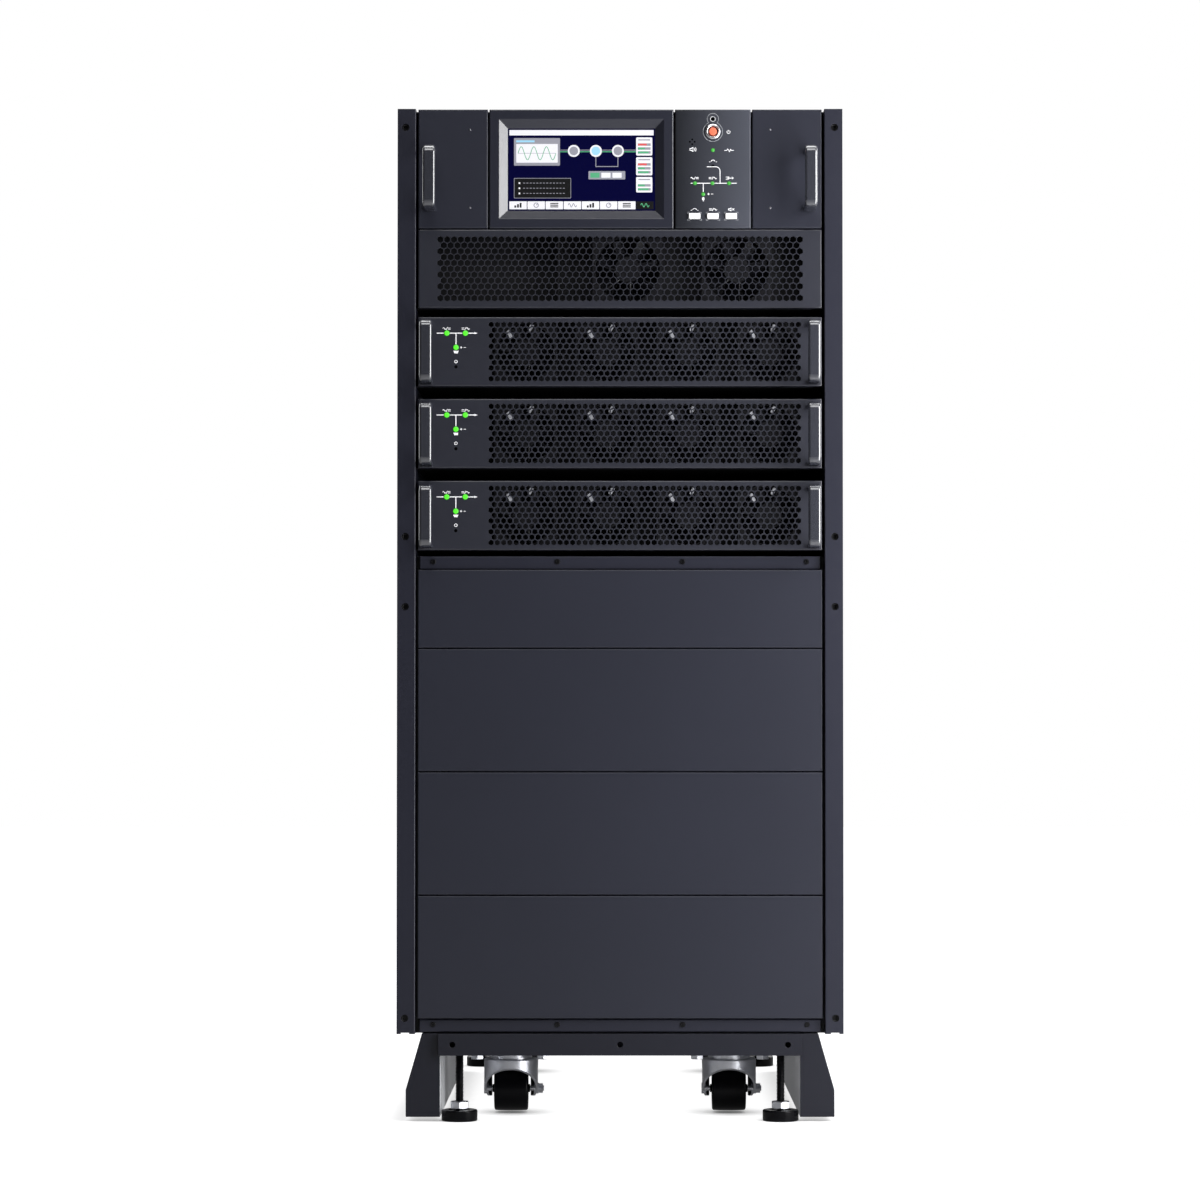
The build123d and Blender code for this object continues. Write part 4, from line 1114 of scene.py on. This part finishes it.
def wheelPart(low, high):
    # half a profile from the bore out to the tread and its mirror image, turned about the axle
    radius, bushX, half = (high.z - low.z) / 2, (high.x - low.x) / 2, wheel["width"] / 2
    s = np.linspace(0, pi / 2, 7)
    shoulder = asPoints(
        radius - wheel["crown"] - wheel["round"] * (1 - np.sin(s)), half - wheel["round"] * (1 - np.cos(s)),
    )
    rim, dish = radius - wheel["rim"], half - wheel["dish"]
    deep, soft = wheel["dishCorner"], wheel["rimCorner"]
    side = np.array([
        (wheel["bore"], bushX), (wheel["bushRadius"], bushX), (wheel["bushRadius"], dish),
        (rim - deep, dish), (rim, dish + deep), (rim, half - soft), (rim + soft, half),
    ])
    tread = np.array([(radius - wheel["crown"] * 0.3, half * 0.6), (radius, half * 0.2)])
    profile = np.concatenate([side, shoulder, tread])
    profile = np.concatenate([profile, profile[::-1] * [1, -1], profile[:1]])
    return moved(towardsRight(turnedPart(profile, 72)), tuple((low + high) / 2))


for nodeName in sorted(frame["nodes"]):
    if nodeName.startswith("caster_wheel"):
        standIn(nodeName + "_smooth", nodeName, [wheelPart(*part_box(nodeName))], wheelBlack, 35)
print("stage: wheels")


# Camera, light and floor
view = {
    "place": (0.0, -4.356, 0.421),
    "lens": 110.97,
    "sensor": 36.0,
    "tilt": 1.3,
    "shiftX": -0.0167,
    "shiftY": 0.04,
}
cameraData = bpy.data.cameras.new("camera")
cameraData.lens = view["lens"]
cameraData.sensor_width = view["sensor"]
cameraData.shift_x = view["shiftX"]
cameraData.shift_y = view["shiftY"]
camera = bpy.data.objects.new("camera", cameraData)
camera.location = view["place"]
camera.rotation_euler = (radians(90 + view["tilt"]), 0, 0)
addToScene(camera)
bpy.context.scene.camera = camera

lamps = {
    "key": ((0.74, -0.84, 0.46), (0.0, -0.36, 0.47), (0.5, 1.8), 25.0),
    "top": ((0.1, -0.40, 2.2), (0.1, -0.38, 0.9), (1.4, 0.5), 10.0),
    "upperFront": ((0.0, -2.55, 3.0), (0.0, -0.35, 0.7), (2.2, 1.2), 24.0),
    "rearRight": ((2.0, 1.8, 1.6), (0.0, 0.2, 0.5), (1.2, 1.6), 40.0),
    "rearLeft": ((-1.9, 1.6, 1.4), (0.0, 0.2, 0.5), (1.2, 1.6), 24.0),
}
for lampName, (place, target, size, power) in lamps.items():
    data = bpy.data.lights.new(lampName, "AREA")
    data.shape = "RECTANGLE"
    data.size, data.size_y = size
    data.energy = power
    lamp = bpy.data.objects.new(lampName, data)
    lamp.location = place
    lamp.rotation_euler = (Vector(target) - Vector(place)).to_track_quat("-Z", "Y").to_euler()
    lamp.visible_camera = False
    addToScene(lamp)


studio = {
    "plain": 0.045,
    "reflectedMiddle": 0.45,
    "reflectedRight": 0.35,
    "reflectedBehind": 0.45,
    "reflectedUp": 0.1,
    "reflectedLeast": 0.04,
}
world = bpy.data.worlds.new("studio")
bpy.context.scene.world = world
world.use_nodes = True
room = world.node_tree
plainBack = room.nodes["Background"]
setInputs(plainBack, {"Color": (1, 1, 1, 1), "Strength": studio["plain"]})
rays = addNode(room, "ShaderNodeLightPath")
direction = addNode(room, "ShaderNodeTexCoord")
brightness = addNode(room, "ShaderNodeVectorMath", operation="DOT_PRODUCT")
slope = (studio["reflectedRight"], studio["reflectedBehind"], studio["reflectedUp"])
brightness.inputs[1].default_value = slope
lifted = addNode(room, "ShaderNodeMath", operation="ADD")
lifted.inputs[1].default_value = studio["reflectedMiddle"]
least = addNode(room, "ShaderNodeMath", operation="MAXIMUM")
least.inputs[1].default_value = studio["reflectedLeast"]
reflectedBack = addNode(room, "ShaderNodeBackground")
whiteBack = addNode(room, "ShaderNodeBackground")
whiteBack.inputs["Color"].default_value = (1, 1, 1, 1)
mirrorRays = addNode(room, "ShaderNodeMath", operation="MAXIMUM")
mixReflected = addNode(room, "ShaderNodeMixShader")
mixSeen = addNode(room, "ShaderNodeMixShader")
join(
    room, (direction, "Generated", brightness, 0), (brightness, "Value", lifted, 0), (lifted, 0, least, 0),
    (least, 0, reflectedBack, "Strength"), (rays, "Is Glossy Ray", mirrorRays, 0),
    (rays, "Is Transmission Ray", mirrorRays, 1), (mirrorRays, 0, mixReflected, 0),
    (plainBack, 0, mixReflected, 1),
    (reflectedBack, 0, mixReflected, 2), (rays, "Is Camera Ray", mixSeen, 0), (mixReflected, 0, mixSeen, 1),
    (whiteBack, 0, mixSeen, 2), (mixSeen, 0, room.nodes["World Output"], "Surface"),
)

ground = {
    "size": 12.0,
    "base": (0.45, 0.45, 0.455, 1),
    "roughness": 0.9,
    "paintedShadowReach": 0.035,
    "mirroredGlow": 0.15,
}
floorMesh = bpy.data.meshes.new("floor")
floorPoints = np.array([(-1, -1, 0), (1, -1, 0), (1, 1, 0), (-1, 1, 0)]) * ground["size"]
floorMesh.from_pydata(floorPoints.tolist(), [], [(0, 1, 2, 3)])
floor = bpy.data.objects.new("floor", floorMesh)
addToScene(floor)
floorMaterial, floorTree, floorShader = newMaterial("floorPale")
setInputs(floorShader, {"Base Color": ground["base"], "Roughness": ground["roughness"]})
floorRays = addNode(floorTree, "ShaderNodeLightPath")
floorGlow = addNode(floorTree, "ShaderNodeEmission")
floorGlow.inputs["Color"].default_value = (1, 1, 1, 1)
floorAdd = addNode(floorTree, "ShaderNodeAddShader")
# the floor's white glow seen by the camera is darkened by ambient occlusion near the cabinet: a painted
# contact shadow
paintedContactShadow = addNode(floorTree, "ShaderNodeAmbientOcclusion", samples=12)
paintedContactShadow.inputs["Distance"].default_value = ground["paintedShadowReach"]
seenGlow = addNode(floorTree, "ShaderNodeMath", operation="MULTIPLY")
mirroredGlow = addNode(floorTree, "ShaderNodeMath", operation="MULTIPLY_ADD")
mirroredGlow.inputs[1].default_value = ground["mirroredGlow"]
join(
    floorTree, (floorRays, "Is Camera Ray", seenGlow, 0), (paintedContactShadow, "AO", seenGlow, 1),
    (floorRays, "Is Glossy Ray", mirroredGlow, 0), (seenGlow, 0, mirroredGlow, 2),
    (mirroredGlow, 0, floorGlow, "Strength"), (floorShader, 0, floorAdd, 0), (floorGlow, 0, floorAdd, 1),
    (floorAdd, 0, floorTree.nodes["Material Output"], "Surface"),
)
floorMesh.materials.append(floorMaterial)
bpy.context.scene.view_settings.view_transform = "Standard"
print("stage: camera, light and floor")
